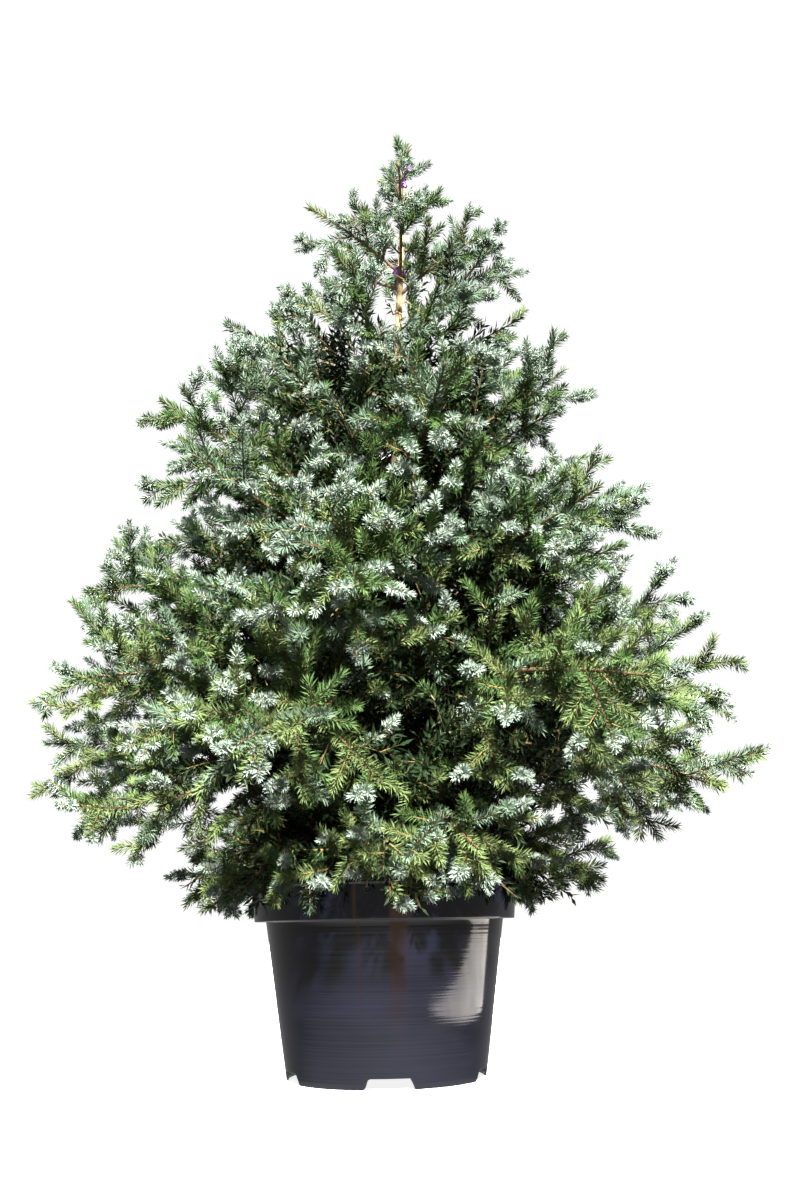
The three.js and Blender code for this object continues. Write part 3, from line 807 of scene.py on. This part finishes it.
def leader_stem():
    foot = trunk_axis(TRUNK_TIP) + UP * GAP
    run = np.array([LEADER_LEAN, 0, TREE_HEIGHT - TRUNK_TIP - GAP])
    return Stem(lambda share: foot + run * column(share), STEM_START, TRUNK_TIP_RADIUS, STEM_TIP_RADIUS)


def all_stems():
    boughs = [crown_bough(n) for n in range(CROWN_BOUGHS)]
    boughs += [whorl_bough(n) for n in range(WHORL_BOUGHS)]
    boughs += [leader_shoot(n) for n in range(LEADER_SHOOTS)]
    return [bough_stem(b, n < BARE_BOUGHS) for n, b in enumerate(boughs)] + [leader_stem()]


BOUGH_RINGS = 44
BOUGH_SIDES = 9
KNOB_RELIEF = 0.0006
KNOBS_PER_METRE = 160
BOUGH_BROWN = (0.15, 0.095, 0.05)


def make_boughs(stems):
    """The limbs from the trunk to their tips, with the knobs that old needles leave."""
    share = np.linspace(0, 1, BOUGH_RINGS)
    centres = np.stack([stem.path(share) for stem in stems])
    radii = np.stack([lerp(stem.radius, stem.tip_radius, share) for stem in stems])
    vertices, faces = tube_arrays(centres, radii, BOUGH_SIDES)
    for point in vertices:
        point += KNOB_RELIEF * np.array(noise.noise_vector(Vector(point) * KNOBS_PER_METRE))
    nodes = [f"bough_{number + 1:02d}" for number in range(BARE_BOUGHS)]
    bark = twig_material("bough_bark", BOUGH_BROWN)
    add_piece("bough_limbs", (vertices, faces), bark, nodes, smooth=True)


# ---- twigs and shoots
class Shoots:
    """Many shoots: one row each for root, direction, lift, length, radius and stem number."""

    FIELDS = ("root", "along", "lift", "length", "thick", "stem")

    def __init__(self, **rows):
        for field in self.FIELDS:
            setattr(self, field, np.asarray(rows[field]))

    def __len__(self):
        return len(self.length)

    def take(self, rows):
        return Shoots(**{field: getattr(self, field)[rows] for field in self.FIELDS})

    def point(self, rows, share):
        bow = self.along[rows] * column(share) + self.lift[rows] * column(share**2)
        return self.root[rows] + bow * column(self.length[rows])

    def at(self, share):
        """The point at one share of every shoot."""
        return self.point(np.arange(len(self)), np.full(len(self), share))

    def heading(self, rows, share):
        return unit(self.along[rows] + 2 * self.lift[rows] * column(share))


def new_shoots(root, along, lift, length, thick, stem):
    """Shoots from arrays; their lift, thickness and stem may also be one number for all of them."""
    count = len(root)
    return Shoots(
        root=root,
        along=unit(along),
        lift=UP * column(np.broadcast_to(lift, count)),
        length=length,
        thick=np.broadcast_to(thick, count),
        stem=np.broadcast_to(stem, count),
    )


def joined(groups):
    return Shoots(**{f: np.concatenate([getattr(g, f) for g in groups]) for f in Shoots.FIELDS})


def places_on(counts):
    """For so many children on each parent: every child's parent, and its place on it from 0."""
    rows = np.repeat(np.arange(len(counts)), counts)
    place = np.arange(rows.size) - np.repeat(np.cumsum(counts) - counts, counts)
    return rows, place


TRUNK_ROOM = 0.001  # what twigs and needles keep to the trunk and to the pot
POT_ROOM = 0.002
BOX_SLACK = (0.02, 0.006)  # how far they may pass the model's box: a share of it, and a length


def from_axis(points):
    """The ways to points from the trunk's axis beside them, or from its nearer end."""
    return points - trunk_axis(np.clip(points[..., 2], SOIL_LEVEL, TRUNK_TIP))


def around_trunk(points):
    """How far points lie from the trunk's axis, and at which compass angle."""
    away = from_axis(points)
    return np.hypot(away[..., 0], away[..., 1]), np.arctan2(away[..., 1], away[..., 0])


def in_the_clear(points):
    """True where points lie off the trunk, the pot and the soil, and hardly past the model's box."""
    x, y, z = points[..., 0], points[..., 1], points[..., 2]
    level, _ = around_trunk(points)
    off_trunk = (z > TRUNK_TIP) | (level > trunk_radius(np.maximum(z, SOIL_LEVEL)) + TRUNK_ROOM)
    off_pot = (z > POT_HEIGHT + POT_ROOM) | (np.hypot(x, y) > RIM_RADIUS + LIP_WIDTH + POT_ROOM)
    low, high = np.array(cad_box[0]), np.array(cad_box[1])
    slack = BOX_SLACK[0] * (high - low) + BOX_SLACK[1]
    in_box = np.all((points > low - slack) & (points < high + slack), axis=-1)
    return off_trunk & off_pot & in_box


def in_the_crown(points):
    """True where points lie within the crown's outline."""
    level, angle = around_trunk(points)
    lowest = lerp(*SKIRT_EDGES, smoothstep(level, *SKIRT_SPAN))
    return (level < outline(points[..., 2], angle) + OUTLINE_SLACK) & (points[..., 2] > lowest)


def in_a_window(points):
    """True where needles would hide the bare leader and its tapes from the front."""
    away = from_axis(points)
    ahead = -away[..., 1]
    height = points[..., 2] + WINDOW_SLOPE * ahead
    level = np.zeros(height.shape, bool)
    for low, high in WINDOW_HEIGHTS:
        level |= (height > low) & (height < high)
    return level & (ahead > 0) & (np.abs(away[..., 0]) < WINDOW_WIDTH)


LENGTH_TRIALS = (0.45, 0.7, 1.0)
SHORTEST = 0.004


def only_clear(shoots):
    """The shoots at the longest of a few lengths that keeps their middle and tip in the clear."""
    fitted = np.zeros(len(shoots))
    whole = shoots.length.copy()
    for trial in LENGTH_TRIALS:
        shoots.length = whole * trial
        middle, tip = shoots.at(0.5), shoots.at(1)
        fits = in_the_clear(middle) & in_the_clear(tip) & in_the_crown(tip)
        fitted = np.where(fits, shoots.length, fitted)
    shoots.length = fitted
    return shoots.take(fitted > SHORTEST)


FEWEST_TWIGS = 4
PATH_STEP = 0.01  # to each side of a twig's root, for the way its stem runs there
TWIG_LIFTS = (-0.10, 0.12)
TWIG_SIZES = (0.85, 1.1)


def twigs_of(stem, number):
    """A stem's twigs by the model's rule, set closer together: all round, the level ones longest."""
    rand = seeded(SEED + TWIG_SEED + number)
    count = max(FEWEST_TWIGS, round(stem.length * (TWIG_LAST - stem.start) / TWIG_SPACING))
    draws = np.array([[rand(), rand(), rand()] for _ in range(count)])
    twig = np.arange(count)
    share = lerp(stem.start, TWIG_LAST, (twig + 0.5 * draws[:, 0]) / count)
    along = unit(stem.path(share + PATH_STEP) - stem.path(share - PATH_STEP))
    roll = np.radians(twig * GOLDEN_ANGLE + TWIG_TURN_SCATTER * draws[:, 1])
    spread = np.radians(lerp(*TWIG_SPREADS, share) + TWIG_SPREAD_SCATTER * (draws[:, 2] - 0.5))
    direction, _ = leaning(along, roll, spread)
    level = lerp(TWIG_UPRIGHT, 1, np.abs(np.cos(roll)))
    extra = TWIG_LENGTH * min(1, stem.length / LONG_STEM)
    grown = TWIG_SHARE * (1 - share) ** TWIG_CURVE + TWIG_LEAST
    length = (level * stem.length * grown + extra) * lerp(*TWIG_SIZES, draws[:, 1])
    thick = np.minimum(TWIG_RADIUS, lerp(stem.radius, stem.tip_radius, share))
    lift = lerp(*TWIG_LIFTS, draws[:, 2])
    return new_shoots(stem.path(share), direction, lift, length, thick, number)


def nearest_stems(points, stems):
    middles = np.stack([stem.path(np.array([0.5]))[0] for stem in stems])
    return np.argmin(np.linalg.norm(points[:, None] - middles[None], axis=-1), axis=1)


def trunk_branches(stems, root, angle, reach, rise, lift):
    """Branches straight from the trunk, between the boughs; each counts to the nearest stem."""
    out = circle(angle, rise)
    nearest = nearest_stems(trunk_axis(root) + 0.5 * column(reach) * out, stems)
    foot = trunk_axis(root) + out * column(BRANCH_ROOT * trunk_radius(root))
    return new_shoots(foot, out, lift, reach, BRANCH_RADIUS, nearest)


def golden_turns(rng, count, scatter):
    """Compass angles dealt round the trunk by the golden angle, each up to a scatter further on."""
    return np.radians(GOLDEN_ANGLE * np.arange(count)) + rng.uniform(0, scatter, count)


def inner_branches(stems):
    """Short branches all the way up that fill the crown's inside."""
    rng = np.random.default_rng(SEED + 1)
    root = lerp(*INNER_ROOTS, np.linspace(0, 1, INNER_BRANCHES) ** INNER_CROWDING)
    angle = golden_turns(rng, INNER_BRANCHES, INNER_TURN_SCATTER)
    reach = outline(root, angle) * rng.uniform(*INNER_SHARES, INNER_BRANCHES)
    lift = rng.uniform(*INNER_LIFTS, INNER_BRANCHES)
    return trunk_branches(stems, root, angle, reach, INNER_RISE, lift)


def skirt_branches(stems):
    """Low branches that rise over the pot's rim and hang down outside it."""
    rng = np.random.default_rng(SEED + 2)
    root = np.linspace(*SKIRT_ROOTS, SKIRT_BRANCHES)
    angle = golden_turns(rng, SKIRT_BRANCHES, SKIRT_TURN_SCATTER)
    reach = rng.uniform(*SKIRT_REACHES, SKIRT_BRANCHES)
    lift = -rng.uniform(*SKIRT_DROOPS, SKIRT_BRANCHES)
    return trunk_branches(stems, root, angle, reach, SKIRT_RISE, lift)


def shoots_on(parents, rows, share, roll, spread, lift, length, thick):
    """Shoots that leave their parents at shares of their length, rolled and leaning by angles."""
    direction, _ = leaning(parents.heading(rows, share), roll, spread)
    foot = parents.point(rows, share)
    return new_shoots(foot, direction, lift, length, thick, parents.stem[rows])


def side_shoots(parents, rng, spacing, start, share_of, least):
    """Shoots that leave each parent to one side and then the other, shorter towards its tip."""
    room = parents.length * (LAST_SIDE - start)
    counts = np.floor(room / spacing + rng.random(len(parents))).astype(int)
    rows, place = places_on(counts)
    total = rows.size
    share = lerp(start, LAST_SIDE, (place + rng.uniform(*SIDE_PLACES, total)) / counts[rows])
    roll = np.pi * (place % 2) + np.radians(rng.uniform(-SIDE_ROLL, SIDE_ROLL, total))
    spread = lerp(*SIDE_SPREADS, share) + SIDE_SPREAD_SCATTER * (rng.random(total) - 0.5)
    length = share_of * parents.length[rows] * (1 - share) ** SIDE_CURVE
    length = length * rng.uniform(*SIDE_SIZES, total) + least * rng.uniform(*LEAST_SIZES, total)
    lift = rng.uniform(*SIDE_LIFTS, total)
    return shoots_on(parents, rows, share, roll, np.radians(spread), lift, length, SHOOT_RADIUS)


def bough_spans(stems):
    """The outer part of each stem as short straight shoots, which bear needles as shoots do."""
    groups = []
    for number, stem in enumerate(stems):
        count = max(FEWEST_SPANS, round(stem.length * SPANS_PER_METRE))
        points = stem.path(np.linspace(max(stem.start, SPANS_FROM), 1, count))
        step = np.diff(points, axis=0)
        length = np.linalg.norm(step, axis=1)
        groups.append(new_shoots(points[:-1], step, 0, length, TWIG_RADIUS, number))
    return joined(groups)


def outwardness(shoots):
    """How far out each shoot lies, past its middle: 0 at the trunk, 1 at the crown's outline."""
    middle = shoots.at(0.6)
    level, angle = around_trunk(middle)
    return level / outline(middle[:, 2], angle)


def new_growth(shoots, rng):
    """This year's pale shoots: one at the tip of many outer shoots, and up to three beside it."""
    height = smoothstep(shoots.at(1)[:, 2], *NEW_HEIGHTS)
    chance = smoothstep(outwardness(shoots), *NEW_OUT) * lerp(*NEW_CHANCES, height)
    parents = shoots.take(rng.random(len(shoots)) < chance)
    rows, place = places_on(1 + rng.integers(0, NEW_BESIDE + 1, len(parents)))
    total, first = rows.size, place == 0
    share = np.where(first, 1.0, LAST_SIDE)
    spread = np.where(first, 0.0, np.radians(rng.uniform(*NEW_SPREADS, total)))
    roll = np.pi * (place % 2) + np.radians(rng.uniform(-NEW_ROLL, NEW_ROLL, total))
    length = rng.uniform(*NEW_LENGTHS, total) * np.where(first, 1, NEW_BESIDE_SIZE)
    lift = rng.uniform(0, NEW_LIFT, total)
    return shoots_on(parents, rows, share, roll, spread, lift, length, NEW_RADIUS)


# ---- needles
NEEDLE_FOLD = 0.22  # how deep a needle is folded along its length, as a share of its width
NEEDLE_WIDEST = 0.45  # the share of its length where it is widest
NEEDLE_SIZES = (0.78, 1.08)
NEEDLE_TAPER = 0.2  # how much shorter the needles at a shoot's tip are
NEEDLE_ROOT = 0.6  # needles start inside their shoot, at this share of its radius
NEEDLE_ROLL_SCATTER = 0.5
NEEDLE_LEAN_SCATTER = 16
NEEDLE_TWIST = 0.4
NEEDLE_FACES = ((0, 2, 1), (0, 1, 3))


def needle_arrays(shoots, rng, per_metre, long, wide, lean, upturn):
    """Needles round each shoot: slim blades of two faces, folded lengthwise, that lean to its tip."""
    counts = np.maximum(1, np.round(per_metre * shoots.length)).astype(int)
    rows, place = places_on(counts)
    total = rows.size
    share = (place + rng.random(total)) / counts[rows]
    phase = rng.uniform(0, 2 * np.pi, len(shoots))
    roll = np.radians(GOLDEN_ANGLE) * place + phase[rows] + NEEDLE_ROLL_SCATTER * rng.random(total)
    angle = lerp(*lean, share**2) + NEEDLE_LEAN_SCATTER * (rng.random(total) - 0.5)
    direction, radial = leaning(shoots.heading(rows, share), roll, np.radians(angle))
    direction = unit(direction + UP * upturn)
    base = shoots.point(rows, share) + radial * column(NEEDLE_ROOT * shoots.thick[rows])
    length = long * rng.uniform(*NEEDLE_SIZES, total) * (1 - NEEDLE_TAPER * share**4)
    tip = base + direction * column(length)
    across = unit(np.cross(direction, radial + NEEDLE_TWIST * rng.normal(size=(total, 3))))
    keel = np.cross(direction, across)
    middle = base + direction * column(NEEDLE_WIDEST * length) + keel * NEEDLE_FOLD * wide
    corners = np.stack([base, tip, middle + across * wide / 2, middle - across * wide / 2], axis=1)
    return repeated(corners[in_the_clear(tip) & ~in_a_window(tip)], NEEDLE_FACES)


# Each kind of needle: its base colour, how many stand on a metre of shoot, their length, their
# width, how far they lean out at the foot and the tip of their shoot, and how far they turn up.
KINDS = {
    # deep: near-black needles inside the crown, painted shade: their dark colour stands in for the
    # shade that falls there.
    "deep": ((0.014, 0.028, 0.009), 420, 0.0175, 0.0044, (62, 34), 0.05),
    "green": ((0.070, 0.126, 0.040), 2200, 0.0144, 0.0019, (60, 30), 0.10),
    # olive: partly the needles' own olive tone, partly painted light: made paler to brighten the shaded
    # low crown.
    "olive": ((0.134, 0.186, 0.068), 2200, 0.0144, 0.0019, (60, 30), 0.10),
    "blue": ((0.140, 0.205, 0.138), 2200, 0.0144, 0.0019, (60, 30), 0.10),
    "silver": ((0.280, 0.345, 0.290), 3600, 0.0092, 0.0018, (74, 18), 0.03),
}


BLUE_SHARES = (0.15, 0.55)  # of the outer shoots, low and high in the crown
BLUE_HEIGHTS = (0.35, 1.0)
# More olive low in the crown: partly the needles' own tone, partly painted light that brightens the low
# crown in the shade of the tiers above.
OLIVE_SHARES = (0.62, 0.12)
OLIVE_HEIGHTS = (0.32, 0.66)
LIT_OUT = (0.37, 0.74)  # shoots lie in the light from so far out, and from so high
LIT_HEIGHTS = (0.95, 1.08)


def kinds_of(shoots, rng):
    """Deals a kind out to each shoot: the near-black deep kind, painted shade, to shoots within that
    lie out of the light; greens and blues without.
    """
    height = shoots.root[:, 2]
    draw = rng.random(len(shoots))
    blue = lerp(*BLUE_SHARES, smoothstep(height, *BLUE_HEIGHTS))
    olive = blue + lerp(*OLIVE_SHARES, smoothstep(height, *OLIVE_HEIGHTS))
    kind = np.where(draw < blue, "blue", np.where(draw < olive, "olive", "green"))
    level, _ = around_trunk(shoots.root)
    skirt = smoothstep(level, *SKIRT_LIT) * (1 - smoothstep(height, *SKIRT_SHADE))
    outside = np.maximum(smoothstep(outwardness(shoots), *LIT_OUT), smoothstep(height, *LIT_HEIGHTS))
    # Shoots out of the light get the deep kind: painted shade.
    in_painted_shade = rng.random(len(shoots)) > np.maximum(outside, skirt)
    return np.where(in_painted_shade, "deep", kind)


TWIG_BROWN = (0.085, 0.055, 0.026)
SHOOT_OCHRE = (0.24, 0.155, 0.050)


def make_foliage(stems):
    """Every twig, shoot and needle, by tier of the crown and by kind."""
    rng = np.random.default_rng(SEED)
    twigs = [twigs_of(stem, number) for number, stem in enumerate(stems)]
    twigs = only_clear(joined([*twigs, inner_branches(stems), skirt_branches(stems)]))
    shoots = side_shoots(twigs, rng, SHOOT_SPACING, SHOOT_START, SHOOT_SHARE, SHOOT_LEAST)
    shoots = only_clear(shoots)
    fine = shoots.take(shoots.length > LONG_SHOOT)
    fine = only_clear(side_shoots(fine, rng, FINE_SPACING, FINE_START, FINE_SHARE, FINE_LEAST))
    pale = only_clear(new_growth(joined([twigs, shoots, fine]), rng))
    green = joined([twigs, shoots, fine, bough_spans(stems)])
    needled = joined([green, pale])
    kinds = np.append(kinds_of(green, rng), np.full(len(pale), "silver"))
    materials = {kind: needle_material(f"needles_{kind}", look[0]) for kind, look in KINDS.items()}
    side_stalks = joined([shoots, fine, pale])
    stalks = {
        "twigs": (twigs, twig_tubes, twig_material("twig_bark", TWIG_BROWN)),
        "shoots": (side_stalks, shoot_spikes, twig_material("shoot_bark", SHOOT_OCHRE)),
    }
    for tier, numbers in TIERS.items():
        nodes = tier_nodes(numbers)
        for kind, (_, *look) in KINDS.items():
            chosen = needled.take(np.isin(needled.stem, numbers) & (kinds == kind))
            if len(chosen) > 0:
                arrays = needle_arrays(chosen, rng, *look)
                add_piece(f"needles_{kind}_{tier}", arrays, materials[kind], nodes)
        for name, (grown, arrays_of, bark) in stalks.items():
            chosen = grown.take(np.isin(grown.stem, numbers))
            add_piece(f"{name}_{tier}", arrays_of(chosen), bark, nodes)


def twig_tubes(twigs):
    """Three-sided stems along the twigs' curves that taper to half their thickness."""
    shares = np.linspace(0, 1, TWIG_STEPS + 1)
    centres = np.stack([twigs.at(share) for share in shares], axis=1)
    return tube_arrays(centres, twigs.thick[:, None] * lerp(1, 0.5, shares), 3)


def shoot_spikes(shoots):
    """Slim three-sided spikes for the short stems of the side shoots."""
    ring = spokes(unit(shoots.along), 3)
    foot = shoots.root[:, None] + ring * shoots.thick[:, None, None]
    corners = np.concatenate([foot, shoots.at(1)[:, None]], axis=1)
    return repeated(corners, [(0, 1, 3), (1, 2, 3), (2, 0, 3), (0, 2, 1)])


def tier_nodes(numbers):
    last = CROWN_BOUGHS + WHORL_BOUGHS + LEADER_SHOOTS
    return [f"foliage_{n + 1:02d}" if n < last else "leader_foliage" for n in numbers]


# ---- marking tape
TAPE_STEPS = 14  # in each turn, and in the tail
TAPE_TURNS = 2
TAPE_START = 250  # the compass angle where the winding starts
TAPE_CLIMB = 0.006  # from the first turn to the last
TAPE_WAVE = 0.001
TAPE_WAVINESS = 9
TAPE_WIDTH = 0.008
TAPE_THICKNESS = 0.0003
TAIL_ARCH = 0.004
# Each tape: its height, its radius round the leader, and how its free tail runs.
TAPES = {
    "upper_tape": (1.240, 0.0040, (0.010, -0.026, 0.006)),
    "lower_tape": (1.085, 0.0068, (-0.006, -0.030, -0.014)),
}


def tape_strip(points):
    """A thin closed ribbon along points, wide at right angles to its run and to its lean."""
    along = unit(np.gradient(points, axis=0))
    lean = unit(np.cross(along, np.array([0.2, 1.0, 0.1])))
    face = np.cross(along, lean)
    half, deep = lean * TAPE_WIDTH / 2, face * TAPE_THICKNESS / 2
    corners = [half + deep, deep - half, -half - deep, half - deep]
    ring = np.stack([points + corner for corner in corners], axis=1)
    count = len(points)
    row, here = np.meshgrid(np.arange(count - 1), np.arange(4), indexing="ij")
    after = (here + 1) % 4
    a, b = row * 4 + here, row * 4 + after
    walls = np.stack([a, b, b + 4, a + 4], -1).reshape(-1, 4)
    last = (count - 1) * 4
    ends = np.array([(3, 2, 1, 0), (last, last + 1, last + 2, last + 3)])
    return ring.reshape(-1, 3), np.concatenate([walls, ends])


def make_tape(name, height, radius, tail):
    """Marking tape wound round the leader, with one free tail that stands off it."""
    share = np.linspace(0, 1, TAPE_STEPS * TAPE_TURNS)
    turn = np.radians(TAPE_START) + 2 * np.pi * TAPE_TURNS * share
    level = height + TAPE_CLIMB * share + TAPE_WAVE * np.sin(TAPE_WAVINESS * share)
    ring = trunk_axis(level) + radius * circle(turn)
    out = np.linspace(0.1, 1, TAPE_STEPS)[:, None]
    free = ring[-1] + np.array(tail) * out + UP * TAIL_ARCH * np.sin(np.pi * out)
    add_piece(name, tape_strip(np.concatenate([ring, free])), tape_material())


# ---- studio
FLOOR_SIZE = 30
BACKDROP_WHITE = 1.05  # what the camera sees
REFLECTED_WHITE = 0.28  # what glossy surfaces see
REFLECTED_LOW = 1.4  # and what they see further down
REFLECTED_SLOPES = (-0.26, -0.42)
WORLD_FILL = 0.112  # what lights the plant
# Each sun: the way it shines, its strength, its spread in degrees and its colour.
SUNS = {
    "key_sun": ((-0.15, 0.88, -0.64), 22.0, 3, (1, 0.98, 0.93)),
    "back_sun": ((0.25, -0.80, -0.75), 9.0, 6, (0.96, 0.98, 1)),
}
RIM_LIGHT_PLACE = (-1.8, -0.6, 1.0)
RIM_LIGHT_TARGET = (0, 0, 0.6)
RIM_LIGHT_SIZE = (0.5, 1.6)
RIM_LIGHT_POWER = 8
LIT_GROUND = ((0.224, -0.302, 0), (0.98, 0.0, 0), (1.157, 0.55, 0), (0.457, 0.167, 0))
LIT_GROUND_COLOUR = (1, 0.94, 0.87)
LIT_GROUND_GLOW = 5.6
# Each brown upright: its left and right edges, and how far in front of the pot it stands.
UPRIGHTS = {"brown_wide": (0.20, 0.92, 2.2), "brown_slim": (-0.93, -0.84, 2.0)}
UPRIGHT_HEIGHTS = (-0.72, 0.05)
UPRIGHT_BROWN = (1, 0.62, 0.36)
UPRIGHT_GLOW = 0.9


def make_world():
    """A white surround: full to the camera, softer in reflections, dim as light on the plant."""
    world = bpy.data.worlds.new("studio")
    world.use_nodes = True
    tree = world.node_tree
    background = tree.nodes["Background"]
    background.inputs["Color"].default_value = (1, 1, 1, 1)
    ray = tree.nodes.new("ShaderNodeLightPath")
    slope = add_split(tree, "Generated")["Z"]
    reflected = add_pick(tree, slope, REFLECTED_SLOPES, REFLECTED_WHITE, REFLECTED_LOW)
    unseen = add_pick(tree, ray.outputs["Is Glossy Ray"], (0, 1), WORLD_FILL, reflected)
    strength = add_pick(tree, ray.outputs["Is Camera Ray"], (0, 1), unseen, BACKDROP_WHITE)
    tree.links.new(strength, background.inputs["Strength"])
    bpy.context.scene.world = world


def make_floor():
    half = FLOOR_SIZE / 2
    corners = [(-half, -half, 0), (half, -half, 0), (half, half, 0), (-half, half, 0)]
    floor = mesh_object("studio_floor", corners, [(0, 1, 2, 3)])
    floor.data.materials.append(floor_material())
    floor.visible_diffuse = False
    floor.visible_glossy = False
    floor.visible_shadow = False


def glow_material(name, colour, strength):
    """A lit surface, a little uneven."""
    material, tree, shader = new_material(name, 0.9, Emission_Strength=strength)
    shader.inputs["Base Color"].default_value = (0, 0, 0, 1)
    glow = shades(colour, 0.75, 1.2)
    add_ramp(tree, add_noise(tree, 7), (0.35, 0.65), glow, shader.inputs["Emission Color"])
    return material


def add_reflected(name, corners, colour, strength):
    """A lit panel of the studio that shows only as a reflection on the pot."""
    panel = mesh_object(name, corners, [(0, 1, 2, 3)])
    panel.data.materials.append(glow_material(name, colour, strength))
    panel.visible_camera = False
    panel.visible_diffuse = False
    panel.visible_transmission = False
    panel.visible_shadow = False


def add_lamp(name, kind, direction, power, colour=(1, 1, 1)):
    """A light that shines along a direction."""
    light = bpy.data.lights.new(name, kind)
    light.energy = power
    light.color = colour
    lamp = bpy.data.objects.new(name, light)
    lamp.rotation_euler = Vector(direction).to_track_quat("-Z", "Y").to_euler()
    bpy.context.scene.collection.objects.link(lamp)
    return lamp


def make_lights():
    for name, (direction, power, spread, colour) in SUNS.items():
        sun = add_lamp(name, "SUN", direction, power, colour)
        sun.data.angle = math.radians(spread)
    direction = Vector(RIM_LIGHT_TARGET) - Vector(RIM_LIGHT_PLACE)
    rim = add_lamp("left_rim", "AREA", direction, RIM_LIGHT_POWER)
    rim.location = RIM_LIGHT_PLACE
    rim.data.shape = "RECTANGLE"
    rim.data.size, rim.data.size_y = RIM_LIGHT_SIZE


def make_reflections():
    """The sunlit ground beside the tree's shadow and two brown uprights, as the pot mirrors them."""
    add_reflected("lit_ground", LIT_GROUND, LIT_GROUND_COLOUR, LIT_GROUND_GLOW)
    low, high = UPRIGHT_HEIGHTS
    for name, (left, right, distance) in UPRIGHTS.items():
        lower = [(left, -distance, low), (right, -distance, low)]
        upper = [(right, -distance, high), (left, -distance, high)]
        add_reflected(name, lower + upper, UPRIGHT_BROWN, UPRIGHT_GLOW)


def make_camera():
    data = bpy.data.cameras.new("camera")
    data.lens = CAMERA_LENS
    data.sensor_width = SENSOR_WIDTH
    camera = bpy.data.objects.new("camera", data)
    tilt = Matrix.Rotation(math.radians(90 + CAMERA_PITCH), 4, "X")
    roll = Matrix.Rotation(math.radians(CAMERA_ROLL), 4, "Z")
    camera.matrix_world = Matrix.Translation(CAMERA_PLACE) @ tilt @ roll
    bpy.context.scene.collection.objects.link(camera)
    bpy.context.scene.camera = camera


make_camera()
make_world()
make_lights()
make_reflections()
make_floor()
make_pot()
make_soil()
make_trunk()
stems = all_stems()
make_boughs(stems)
make_foliage(stems)
for tape, shape in TAPES.items():
    make_tape(tape, *shape)
bpy.context.scene.view_settings.view_transform = "Standard"
